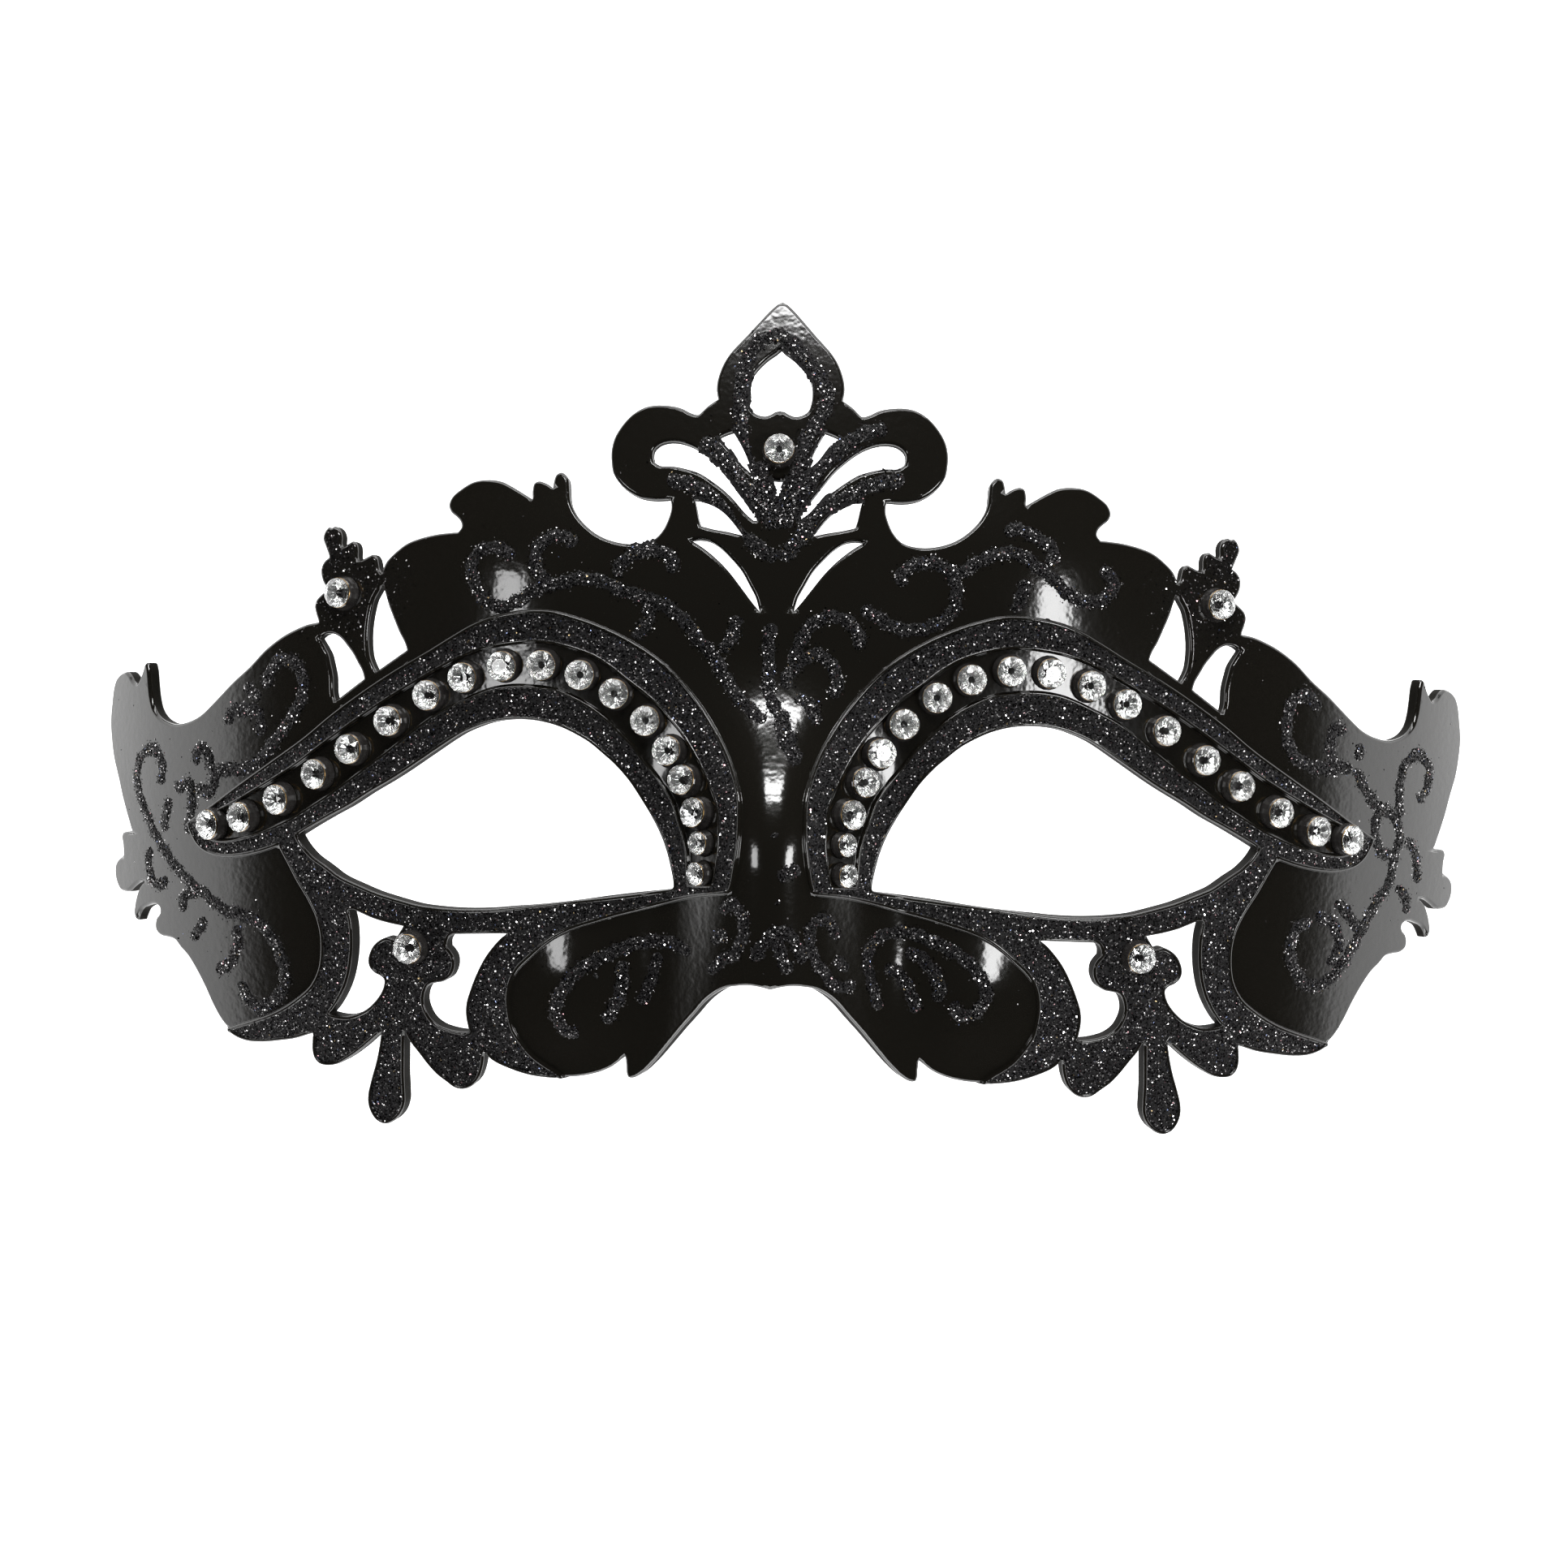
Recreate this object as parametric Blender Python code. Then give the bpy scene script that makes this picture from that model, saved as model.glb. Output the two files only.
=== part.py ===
"""Venetian eye mask: one moulded shell and its cut stones, lying face up on its temple edges.

X runs to the right of the face, Y towards the crest, Z out of the face. Metres.
"""

import math

import bmesh
import bpy
import numpy as np
from mathutils.geometry import delaunay_2d_cdt

# Named sizes.

# The flat pattern. Every outline share is of these two.
PATTERN_WIDTH = 0.104
PATTERN_HEIGHT = 0.104
# Share by which the pattern opens towards the temples, with the cube of the distance from the middle.
TEMPLE_SPREAD = 0.027

# The wrap around the head: an ellipse across, a large circle up and down.
WRAP_HALF_WIDTH = 0.092
WRAP_DEPTH = 0.074
PROFILE_RADIUS = 0.150
PROFILE_MIDDLE = 0.0  # height on the pattern where the profile stands furthest out

# The nose ridge.
NOSE_RISE = 0.0095
NOSE_HALF_WIDTH = 0.0172
NOSE_FLARE = 0.0035  # how much wider the half width gets at the foot of the nose
NOSE_TOP = 0.0085  # pattern height where the ridge starts to rise
NOSE_FULL = -0.0210  # pattern height where it is fully up
NOSE_FOOT = -0.0450

# The cheek drops and the brow plates swell a little.
CHEEK_SWELL = 0.0022
CHEEK_RADIUS = 0.0130
BROW_SWELL = 0.0016
BROW_RADIUS = 0.0190

WALL = 0.0018
RING_RISE = 0.0004  # glitter bands above the smooth plates
CHANNEL_SINK = 0.0006  # stone channel below the glitter bands
STEP_WIDTH = 0.0003
FOOT_FLAT = 0.0007  # depth taken off the lowest edges, which leaves the resting flats

LARGE_STONE = 0.0038
SMALL_STONE = 0.0030
STONE_GAP = 0.0003

# How finely the shell is faceted.
CURVE_TOLERANCE = 0.00006
LONGEST_EDGE = 0.0042
GRID_PITCH = 0.0046
NOSE_GRID_PITCH = 0.0026
CURVE_STEPS = 8

# Outline of the left half.
# Columns: name of the run, then its points (out, up). Out is the share of PATTERN_WIDTH from the middle, up the
# share of PATTERN_HEIGHT above mid height. A run is one smooth curve. It starts at the end of the run before it,
# and the runs meet in corners.

OUTLINE = (
    ("crest side", (
        (0.006, 0.503), (0.014, 0.496), (0.043, 0.464), (0.063, 0.442), (0.072, 0.427), (0.078, 0.409),
        (0.079, 0.396), (0.077, 0.385),
    )),
    ("crest scroll", (
        (0.082, 0.382), (0.090, 0.376), (0.096, 0.370), (0.101, 0.366), (0.110, 0.368), (0.120, 0.373),
        (0.132, 0.376), (0.152, 0.377), (0.167, 0.374), (0.182, 0.365), (0.194, 0.352), (0.203, 0.337),
        (0.207, 0.322), (0.207, 0.307), (0.204, 0.292), (0.196, 0.280), (0.183, 0.269), (0.168, 0.262),
        (0.153, 0.260), (0.133, 0.261),
    )),
    ("bay between crest and brow", (
        (0.132, 0.251), (0.134, 0.241), (0.142, 0.223), (0.154, 0.211), (0.175, 0.206), (0.198, 0.208),
        (0.218, 0.215), (0.235, 0.227), (0.248, 0.242), (0.255, 0.257), (0.257, 0.274), (0.259, 0.286),
        (0.267, 0.293), (0.274, 0.290), (0.277, 0.282), (0.278, 0.274),
    )),
    ("second brow leaf", (
        (0.283, 0.278), (0.295, 0.282), (0.301, 0.279), (0.303, 0.272), (0.303, 0.260),
    )),
    ("brow lobe", (
        (0.316, 0.268), (0.328, 0.275), (0.341, 0.281), (0.358, 0.283), (0.376, 0.280), (0.391, 0.271),
        (0.402, 0.261), (0.406, 0.250), (0.403, 0.242), (0.396, 0.236), (0.391, 0.230), (0.390, 0.224),
        (0.394, 0.218),
    )),
    ("brow shoulder", (
        (0.405, 0.217), (0.420, 0.215), (0.440, 0.210), (0.457, 0.203), (0.472, 0.191), (0.481, 0.181),
        (0.488, 0.166),
    )),
    ("sprig lobe next to the brow", (
        (0.491, 0.172), (0.492, 0.178), (0.494, 0.185), (0.498, 0.189), (0.503, 0.187), (0.510, 0.183),
        (0.516, 0.181),
    )),
    ("sprig inner leaf", (
        (0.517, 0.187), (0.517, 0.195), (0.519, 0.202), (0.523, 0.205), (0.527, 0.203), (0.535, 0.197),
    )),
    ("sprig top leaf", (
        (0.537, 0.201), (0.537, 0.211), (0.540, 0.219), (0.546, 0.223), (0.550, 0.221), (0.553, 0.222),
        (0.558, 0.216), (0.560, 0.207), (0.557, 0.198), (0.554, 0.190), (0.552, 0.185),
    )),
    ("sprig outer leaf", (
        (0.557, 0.181), (0.561, 0.174), (0.562, 0.166), (0.560, 0.156), (0.557, 0.150), (0.554, 0.145),
    )),
    ("sprig lowest leaf", (
        (0.561, 0.139), (0.567, 0.132), (0.569, 0.124), (0.567, 0.114), (0.564, 0.105),
    )),
    ("tab top and spike", (
        (0.578, 0.102), (0.592, 0.096), (0.608, 0.087), (0.628, 0.071), (0.648, 0.049), (0.667, 0.031),
        (0.691, 0.005), (0.707, -0.011), (0.721, -0.019), (0.737, -0.023), (0.747, -0.021), (0.757, -0.015),
        (0.764, -0.005), (0.768, 0.010), (0.770, 0.026), (0.772, 0.045), (0.7745, 0.0525), (0.777, 0.050),
        (0.779, 0.043), (0.782, 0.034), (0.7865, 0.026), (0.791, 0.029), (0.795, 0.036), (0.800, 0.041),
        (0.806, 0.039), (0.812, 0.032), (0.8155, 0.021), (0.8175, 0.003), (0.819, -0.021), (0.817, -0.047),
        (0.814, -0.067), (0.808, -0.091), (0.802, -0.117), (0.790, -0.158),
    )),
    ("tab upper lobe", (
        (0.796, -0.156), (0.801, -0.1565), (0.803, -0.162), (0.8015, -0.173), (0.801, -0.185),
    )),
    ("tab middle lobe", (
        (0.807, -0.190), (0.8105, -0.197), (0.811, -0.209), (0.808, -0.221), (0.803, -0.229), (0.795, -0.230),
        (0.787, -0.223), (0.781, -0.2185), (0.774, -0.216),
    )),
    ("tab barb, outer side", (
        (0.780, -0.224), (0.784, -0.235), (0.786, -0.245), (0.787, -0.255), (0.7855, -0.262), (0.783, -0.265),
    )),
    ("tab barb, inner side", (
        (0.781, -0.258), (0.777, -0.251), (0.770, -0.247), (0.764, -0.245),
    )),
    ("tab lower lobe and foot", (
        (0.759, -0.246), (0.755, -0.250), (0.755, -0.256), (0.759, -0.262), (0.7605, -0.270), (0.759, -0.278),
        (0.753, -0.284), (0.744, -0.286), (0.736, -0.289), (0.729, -0.298), (0.720, -0.308), (0.710, -0.324),
        (0.699, -0.345), (0.689, -0.367), (0.679, -0.385), (0.669, -0.397), (0.657, -0.406), (0.643, -0.411),
        (0.624, -0.412), (0.605, -0.410), (0.585, -0.407), (0.563, -0.400),
    )),
    ("outer petal", (
        (0.5635, -0.410), (0.5635, -0.420), (0.561, -0.430), (0.555, -0.437), (0.545, -0.4395),
        (0.531, -0.437), (0.517, -0.429), (0.501, -0.417), (0.492, -0.409), (0.479, -0.397),
    )),
    ("middle petal", (
        (0.481, -0.412), (0.485, -0.433), (0.491, -0.455), (0.495, -0.473), (0.495, -0.485), (0.491, -0.497),
        (0.484, -0.506), (0.474, -0.510), (0.464, -0.507), (0.4545, -0.497), (0.450, -0.484), (0.450, -0.470),
        (0.451, -0.450), (0.451, -0.426), (0.451, -0.396),
    )),
    ("inner petal", (
        (0.444, -0.408), (0.433, -0.422), (0.423, -0.435), (0.411, -0.448), (0.399, -0.457), (0.389, -0.464),
        (0.379, -0.466), (0.369, -0.463), (0.360, -0.454), (0.355, -0.441), (0.353, -0.429), (0.353, -0.421),
    )),
    ("cheek drop", (
        (0.341, -0.431), (0.321, -0.440), (0.298, -0.447), (0.276, -0.450), (0.251, -0.451), (0.231, -0.449),
        (0.211, -0.444), (0.196, -0.437), (0.181, -0.425),
    )),
    ("nose wing and arch", (
        (0.180, -0.435), (0.1795, -0.445), (0.177, -0.450), (0.171, -0.4505), (0.161, -0.445),
        (0.146, -0.430), (0.129, -0.409), (0.112, -0.388), (0.097, -0.371), (0.085, -0.357), (0.072, -0.346),
        (0.057, -0.338), (0.042, -0.3355), (0.027, -0.335), (0.012, -0.337), (0.000, -0.340),
    )),
    ("middle of the nose", ((0.000, 0.261),)),
    ("side of the window under the crest stone", ((0.009, 0.281), (0.010, 0.287))),
    ("top of that window", ((0.000, 0.286),)),
    ("middle under the heart", ((0.000, 0.372),)),
    ("heart side", (
        (0.005, 0.371), (0.012, 0.367), (0.019, 0.365), (0.028, 0.367), (0.0345, 0.372), (0.038, 0.382),
        (0.039, 0.392), (0.038, 0.405), (0.033, 0.417), (0.025, 0.427), (0.0155, 0.436), (0.0055, 0.443),
        (0.000, 0.448),
    )),
    ("middle of the crest", ((0.000, 0.506),)),
)

# Openings of the left half, in the same columns. The last run ends where the first one starts.

OPENINGS = {
    "crest wedge": (
        ("top", ((0.067, 0.342), (0.056, 0.346))),
        ("inner side", ((0.049, 0.334), (0.041, 0.317), (0.035, 0.302), (0.031, 0.291))),
        ("outer side", ((0.037, 0.297), (0.049, 0.308), (0.061, 0.323), (0.075, 0.338))),
    ),
    "crest slot": (
        ("round end and upper side", (
            (0.154, 0.307), (0.1555, 0.315), (0.154, 0.322), (0.146, 0.329), (0.134, 0.332), (0.121, 0.331),
            (0.106, 0.326), (0.094, 0.319), (0.081, 0.309), (0.068, 0.297), (0.056, 0.282), (0.043, 0.265),
            (0.033, 0.252), (0.025, 0.241),
        )),
        ("tip", ((0.026, 0.237), (0.030, 0.2365))),
        ("lower side", (
            (0.040, 0.245), (0.056, 0.263), (0.068, 0.274), (0.083, 0.285), (0.098, 0.294), (0.116, 0.2995),
            (0.131, 0.302), (0.146, 0.3025), (0.154, 0.307),
        )),
    ),
    "crest side window": (
        ("inner side", (
            (0.093, 0.260), (0.080, 0.255), (0.068, 0.247), (0.058, 0.237), (0.049, 0.2255), (0.043, 0.218),
        )),
        ("bottom", ((0.060, 0.222), (0.078, 0.225), (0.095, 0.229))),
        ("outer side", ((0.098, 0.239), (0.1005, 0.251), (0.103, 0.261))),
    ),
    "brow crescent": (
        ("upper side", (
            (0.095, 0.212), (0.082, 0.2095), (0.070, 0.202), (0.057, 0.1895), (0.044, 0.1745), (0.034, 0.157),
            (0.026, 0.142), (0.021, 0.125),
        )),
        ("lower side", (
            (0.031, 0.137), (0.044, 0.154), (0.059, 0.173), (0.075, 0.189), (0.090, 0.201), (0.101, 0.208),
            (0.107, 0.211),
        )),
    ),
    "window between brow and sprig": (
        ("tip", ((0.488, 0.149), (0.485, 0.1495))),
        ("inner side", (
            (0.482, 0.140), (0.478, 0.126), (0.472, 0.111), (0.464, 0.092), (0.458, 0.081), (0.455, 0.072),
        )),
        ("bottom", ((0.492, 0.045),)),
        ("outer side", (
            (0.495, 0.050), (0.500, 0.062), (0.502, 0.075), (0.5025, 0.090), (0.5015, 0.105), (0.4995, 0.118),
            (0.496, 0.133), (0.4915, 0.142), (0.488, 0.149),
        )),
    ),
    "window between sprig and tab": (
        ("inner side", (
            (0.558, 0.089), (0.552, 0.091), (0.544, 0.090), (0.536, 0.085), (0.528, 0.0755), (0.521, 0.066),
            (0.515, 0.055), (0.5095, 0.045), (0.507, 0.036),
        )),
        ("bottom", ((0.542, 0.008),)),
        ("outer side", (
            (0.5445, 0.018), (0.5455, 0.038), (0.549, 0.055), (0.552, 0.066), (0.5565, 0.0745), (0.563, 0.085),
        )),
    ),
    "eye": (
        ("upper lid", (
            (0.570, -0.149), (0.545, -0.134), (0.520, -0.120), (0.496, -0.104), (0.471, -0.089),
            (0.451, -0.076), (0.431, -0.062), (0.411, -0.048), (0.392, -0.035), (0.381, -0.0285),
            (0.364, -0.021), (0.347, -0.0155), (0.327, -0.0125), (0.304, -0.012), (0.284, -0.0145),
            (0.264, -0.020), (0.247, -0.0275), (0.227, -0.039), (0.211, -0.052), (0.196, -0.065),
            (0.178, -0.085), (0.163, -0.107), (0.150, -0.127), (0.138, -0.149), (0.130, -0.169),
            (0.1245, -0.189), (0.1205, -0.209), (0.121, -0.215), (0.129, -0.2175),
        )),
        ("lower lid", (
            (0.169, -0.2235), (0.219, -0.230), (0.269, -0.236), (0.301, -0.240), (0.338, -0.244),
            (0.354, -0.245), (0.374, -0.2455), (0.394, -0.245), (0.414, -0.2435), (0.434, -0.241),
            (0.454, -0.236), (0.468, -0.232), (0.486, -0.2265), (0.509, -0.217), (0.531, -0.207),
            (0.5495, -0.1935), (0.5655, -0.182), (0.578, -0.168), (0.584, -0.158),
        )),
    ),
    "floret outer window": (
        ("top tip", ((0.513, -0.248),)),
        ("top", ((0.504, -0.252), (0.490, -0.258), (0.473, -0.263), (0.453, -0.267))),
        ("stem", ((0.459, -0.277), (0.463, -0.284))),
        ("lobe and lower edge", (
            (0.473, -0.281), (0.481, -0.284), (0.489, -0.291), (0.494, -0.301), (0.4955, -0.311),
            (0.493, -0.319), (0.487, -0.325), (0.480, -0.3285), (0.476, -0.333), (0.476, -0.339),
            (0.479, -0.348), (0.484, -0.356), (0.490, -0.363), (0.498, -0.370), (0.510, -0.376),
            (0.522, -0.379), (0.534, -0.378), (0.543, -0.376),
        )),
        ("outer side", (
            (0.538, -0.370), (0.529, -0.355), (0.5215, -0.337), (0.517, -0.317), (0.515, -0.297),
            (0.515, -0.279), (0.5165, -0.263), (0.520, -0.248),
        )),
    ),
    "floret inner window": (
        ("top", ((0.326, -0.2745),)),
        ("cheek side", (
            (0.333, -0.280), (0.343, -0.291), (0.353, -0.305), (0.363, -0.325), (0.370, -0.343),
            (0.375, -0.360), (0.3755, -0.375), (0.373, -0.388), (0.371, -0.396),
        )),
        ("lower edge and lobe", (
            (0.384, -0.395), (0.396, -0.3925), (0.408, -0.388), (0.418, -0.380), (0.424, -0.370),
            (0.427, -0.360), (0.4265, -0.350), (0.4235, -0.342), (0.4195, -0.338), (0.4125, -0.336),
            (0.403, -0.334), (0.395, -0.3285), (0.3905, -0.319), (0.3895, -0.311), (0.391, -0.303),
            (0.395, -0.2965), (0.399, -0.292),
        )),
        ("stem", ((0.399, -0.285), (0.396, -0.279), (0.391, -0.276))),
    ),
}

# Raised bands of the left half. Columns as above. The first run starts at the first point. Points
# beyond the outline only close the area.

BANDS = (
    ("start", ((0.718, -0.145),)),
    ("upper border of the eye ring", (
        (0.688, -0.123), (0.653, -0.096), (0.616, -0.069), (0.577, -0.040), (0.542, -0.010), (0.505, 0.018),
        (0.465, 0.045), (0.423, 0.070), (0.398, 0.086), (0.373, 0.101), (0.349, 0.111), (0.324, 0.117),
        (0.299, 0.120), (0.274, 0.119), (0.249, 0.113), (0.223, 0.1045), (0.183, 0.0865), (0.143, 0.061),
        (0.107, 0.026), (0.077, -0.016), (0.054, -0.061), (0.041, -0.1055), (0.040, -0.131),
        (0.0405, -0.156), (0.047, -0.206), (0.051, -0.220),
    )),
    ("edge of the cheek drop", (
        (0.070, -0.2215), (0.094, -0.2245), (0.119, -0.2295), (0.144, -0.236), (0.169, -0.2425),
        (0.194, -0.249), (0.219, -0.257), (0.238, -0.263), (0.253, -0.269), (0.268, -0.277), (0.283, -0.288),
        (0.298, -0.302), (0.313, -0.317), (0.3215, -0.334), (0.3245, -0.354), (0.3225, -0.374),
        (0.318, -0.392), (0.307, -0.409), (0.294, -0.424), (0.279, -0.435), (0.264, -0.4445), (0.248, -0.459),
    )),
    ("beyond the lower edge", ((0.300, -0.560), (0.690, -0.560), (0.700, -0.412))),
    ("edge of the tab plate, lower", (
        (0.659, -0.395), (0.634, -0.387), (0.607, -0.376), (0.582, -0.360), (0.5645, -0.343),
        (0.555, -0.323), (0.552, -0.3025), (0.553, -0.2775), (0.558, -0.2575), (0.568, -0.236),
        (0.583, -0.211), (0.594, -0.190), (0.606, -0.168),
    )),
    ("edge of the tab plate, upper", (
        (0.632, -0.177), (0.655, -0.182), (0.676, -0.183), (0.696, -0.1775), (0.707, -0.1675),
        (0.715, -0.152), (0.718, -0.145),
    )),
)

# The stone channel of the left eye, in the same columns.

CHANNEL = (
    ("start", ((0.709, -0.147),)),
    ("outer side", (
        (0.695, -0.1355), (0.670, -0.122), (0.631, -0.0985), (0.591, -0.073), (0.5515, -0.0425),
        (0.512, -0.013), (0.472, 0.0145), (0.4325, 0.039), (0.393, 0.0615), (0.358, 0.076), (0.323, 0.083),
        (0.298, 0.085), (0.273, 0.083), (0.248, 0.077), (0.223, 0.068), (0.203, 0.056), (0.1825, 0.040),
        (0.162, 0.025), (0.145, 0.0105), (0.129, -0.007), (0.114, -0.024), (0.099, -0.046), (0.086, -0.069),
        (0.076, -0.091), (0.068, -0.111), (0.0648, -0.131), (0.064, -0.151), (0.0648, -0.1735),
        (0.068, -0.1985), (0.071, -0.2130),
    )),
    ("lower end", ((0.102, -0.2130),)),
    ("inner side", (
        (0.1035, -0.189), (0.105, -0.169), (0.110, -0.149), (0.118, -0.1265), (0.123, -0.1115),
        (0.133, -0.0945), (0.146, -0.078), (0.161, -0.060), (0.1765, -0.040), (0.192, -0.025),
        (0.207, -0.010), (0.227, 0.0045), (0.247, 0.0155), (0.267, 0.0235), (0.292, 0.0275),
        (0.322, 0.0285), (0.347, 0.0245), (0.365, 0.018), (0.382, 0.010), (0.412, -0.0055), (0.432, -0.019),
        (0.4515, -0.035), (0.4715, -0.0515), (0.491, -0.0665), (0.511, -0.082), (0.531, -0.097),
        (0.5505, -0.1115), (0.5705, -0.1245), (0.590, -0.137), (0.610, -0.147), (0.630, -0.1555),
        (0.650, -0.162), (0.670, -0.166), (0.687, -0.1645), (0.700, -0.1555), (0.709, -0.147),
    )),
)

# Stones of the left half. Columns: out and up as above, width of the stone.

EYE_STONES = (
    (0.686, -0.1450, LARGE_STONE),
    (0.648, -0.1350, LARGE_STONE),
    (0.604, -0.1130, LARGE_STONE),
    (0.558, -0.0815, LARGE_STONE),
    (0.517, -0.0505, LARGE_STONE),
    (0.470, -0.0155, LARGE_STONE),
    (0.423, 0.0165, LARGE_STONE),
    (0.380, 0.0390, LARGE_STONE),
    (0.3325, 0.0540, LARGE_STONE),
    (0.285, 0.0560, LARGE_STONE),
    (0.2375, 0.0440, LARGE_STONE),
    (0.196, 0.0215, LARGE_STONE),
    (0.1565, -0.0115, LARGE_STONE),
    (0.1275, -0.0480, LARGE_STONE),
    (0.107, -0.0840, LARGE_STONE),
    (0.0905, -0.1240, LARGE_STONE),
    (0.085, -0.1605, SMALL_STONE),
    (0.0865, -0.1975, SMALL_STONE),
)
LEAF_STONE = (0.531, 0.1400, LARGE_STONE)
FLORET_STONE = (0.441, -0.2920, LARGE_STONE)
CREST_STONE = (0.000, 0.3210, LARGE_STONE)

# One stone, turned from rings. Columns: ring radius as a share of half the width, height as a share of the width.

STONE_SIDES = 8
STONE_RINGS = (
    ("back", 0.52, 0.00),
    ("girdle, lower", 1.00, 0.36),
    ("girdle, upper", 1.00, 0.40),
    ("table", 0.58, 0.56),
)

# Colours. Columns: name, base colour, roughness, metallic, transmission.

MATERIALS = (
    ("black_gloss_plastic", (0.012, 0.011, 0.010), 0.16, 0.0, 0.0),
    ("clear_crystal", (0.93, 0.94, 0.96), 0.04, 0.0, 0.6),
)

# Curves.


def smooth_run(points):
    """Centripetal curve through the points, in plan metres."""
    if len(points) < 3:
        return list(points)
    first = 2 * points[0] - points[1]
    last = 2 * points[-1] - points[-2]
    padded = [first, *points, last]
    line = [points[0]]
    for a, b, c, d in zip(padded, padded[1:], padded[2:], padded[3:]):
        t0 = 0.0
        t1 = t0 + math.sqrt(np.linalg.norm(b - a))
        t2 = t1 + math.sqrt(np.linalg.norm(c - b))
        t3 = t2 + math.sqrt(np.linalg.norm(d - c))
        for step in range(1, CURVE_STEPS + 1):
            t = t1 + (t2 - t1) * step / CURVE_STEPS
            ab = a * (t1 - t) / (t1 - t0) + b * (t - t0) / (t1 - t0)
            bc = b * (t2 - t) / (t2 - t1) + c * (t - t1) / (t2 - t1)
            cd = c * (t3 - t) / (t3 - t2) + d * (t - t2) / (t3 - t2)
            abc = ab * (t2 - t) / (t2 - t0) + bc * (t - t0) / (t2 - t0)
            bcd = bc * (t3 - t) / (t3 - t1) + cd * (t - t1) / (t3 - t1)
            line.append(abc * (t2 - t) / (t2 - t1) + bcd * (t - t1) / (t2 - t1))
    return line


def needed_points(line, tolerance):
    """Drops the points that lie within the tolerance of a straight edge."""
    if len(line) < 3:
        return list(line)
    start, end = line[0], line[-1]
    along = end - start
    length = np.linalg.norm(along)
    inner = np.array(line[1:-1]) - start
    if length > 1e-9:
        away = np.abs(along[0] * inner[:, 1] - along[1] * inner[:, 0]) / length
    else:
        away = np.linalg.norm(inner, axis=1)
    worst = int(np.argmax(away)) + 1
    if away[worst - 1] <= tolerance:
        return [start, end]
    head = needed_points(line[: worst + 1], tolerance)
    tail = needed_points(line[worst:], tolerance)
    return head[:-1] + tail


def short_edges(line, longest):
    """Splits the edges that are longer than the limit."""
    result = [line[0]]
    for a, b in zip(line, line[1:]):
        parts = max(1, math.ceil(np.linalg.norm(b - a) / longest))
        for part in range(1, parts + 1):
            result.append(a + (b - a) * part / parts)
    return result


def plan(out, up):
    """A pattern point of the left half in plan metres, measured outwards from the middle."""
    return np.array((PATTERN_WIDTH * (out + TEMPLE_SPREAD * out**3), PATTERN_HEIGHT * up))


def closed_line(runs, tolerance=CURVE_TOLERANCE, longest=LONGEST_EDGE):
    """The closed polyline of a list of runs, without its first point again at the end."""
    before = plan(*runs[-1][1][-1])
    line = []
    for _name, shares in runs:
        points = [before] + [plan(*share) for share in shares]
        if np.linalg.norm(points[0] - points[1]) < 1e-9:
            points = points[1:]
        if len(points) > 1:
            line += short_edges(needed_points(smooth_run(points), tolerance), longest)[1:]
        before = points[-1]
    return np.array(line)


def offset_line(line, distance):
    """A closed polyline moved sideways, with mitred corners."""
    before = line - np.roll(line, 1, axis=0)
    after = np.roll(line, -1, axis=0) - line
    before /= np.linalg.norm(before, axis=1, keepdims=True)
    after /= np.linalg.norm(after, axis=1, keepdims=True)
    side = np.stack((-before[:, 1] - after[:, 1], before[:, 0] + after[:, 0]), axis=1)
    side /= np.linalg.norm(side, axis=1, keepdims=True)
    half_turn = np.abs(side[:, 1] * before[:, 0] - side[:, 0] * before[:, 1])
    return line + side * distance / np.maximum(half_turn, 0.35)[:, None]


def inside(line, points):
    """Which points lie inside a closed polyline."""
    x, y = points[:, 0], points[:, 1]
    hit = np.zeros(len(points), dtype=bool)
    for (ax, ay), (bx, by) in zip(line, np.roll(line, -1, axis=0)):
        if ay == by:
            continue
        crosses = (ay > y) != (by > y)
        hit ^= crosses & (x < ax + (y - ay) / (by - ay) * (bx - ax))
    return hit


def distance_to(line, points):
    """Distance of the points from a closed polyline."""
    nearest = np.full(len(points), np.inf)
    for a, b in zip(line, np.roll(line, -1, axis=0)):
        along = b - a
        length2 = along @ along
        share = np.clip((points - a) @ along / length2, 0.0, 1.0) if length2 > 0 else np.zeros(len(points))
        nearest = np.minimum(nearest, np.linalg.norm(points - a - share[:, None] * along, axis=1))
    return nearest


# Form of the face.


def ease(value):
    value = np.clip(value, 0.0, 1.0)
    return value * value * (3 - 2 * value)


def form(points):
    """Height of the smooth face over the plan, the highest point of the wrap at zero."""
    x, y = np.abs(points[:, 0]), points[:, 1]
    share = np.clip(x / WRAP_HALF_WIDTH, 0.0, 0.985)
    height = -WRAP_DEPTH * (1 - np.sqrt(1 - share**2))
    height -= (y - PROFILE_MIDDLE) ** 2 / (2 * PROFILE_RADIUS)
    rise = ease((NOSE_TOP - y) / (NOSE_TOP - NOSE_FULL))
    flare = ease((NOSE_FULL - y) / (NOSE_FULL - NOSE_FOOT))
    half = NOSE_HALF_WIDTH + NOSE_FLARE * flare
    height += NOSE_RISE * rise * 0.5 * (1 + np.cos(math.pi * np.clip(x / half, 0.0, 1.0)))
    for (out, up), swell, radius in (
        ((0.250, -0.345), CHEEK_SWELL, CHEEK_RADIUS),
        ((0.330, 0.185), BROW_SWELL, BROW_RADIUS),
    ):
        middle = plan(out, up)
        away = np.hypot(x - middle[0], y - middle[1])
        height += swell * 0.5 * (1 + np.cos(math.pi * np.clip(away / radius, 0.0, 1.0)))
    return height


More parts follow.
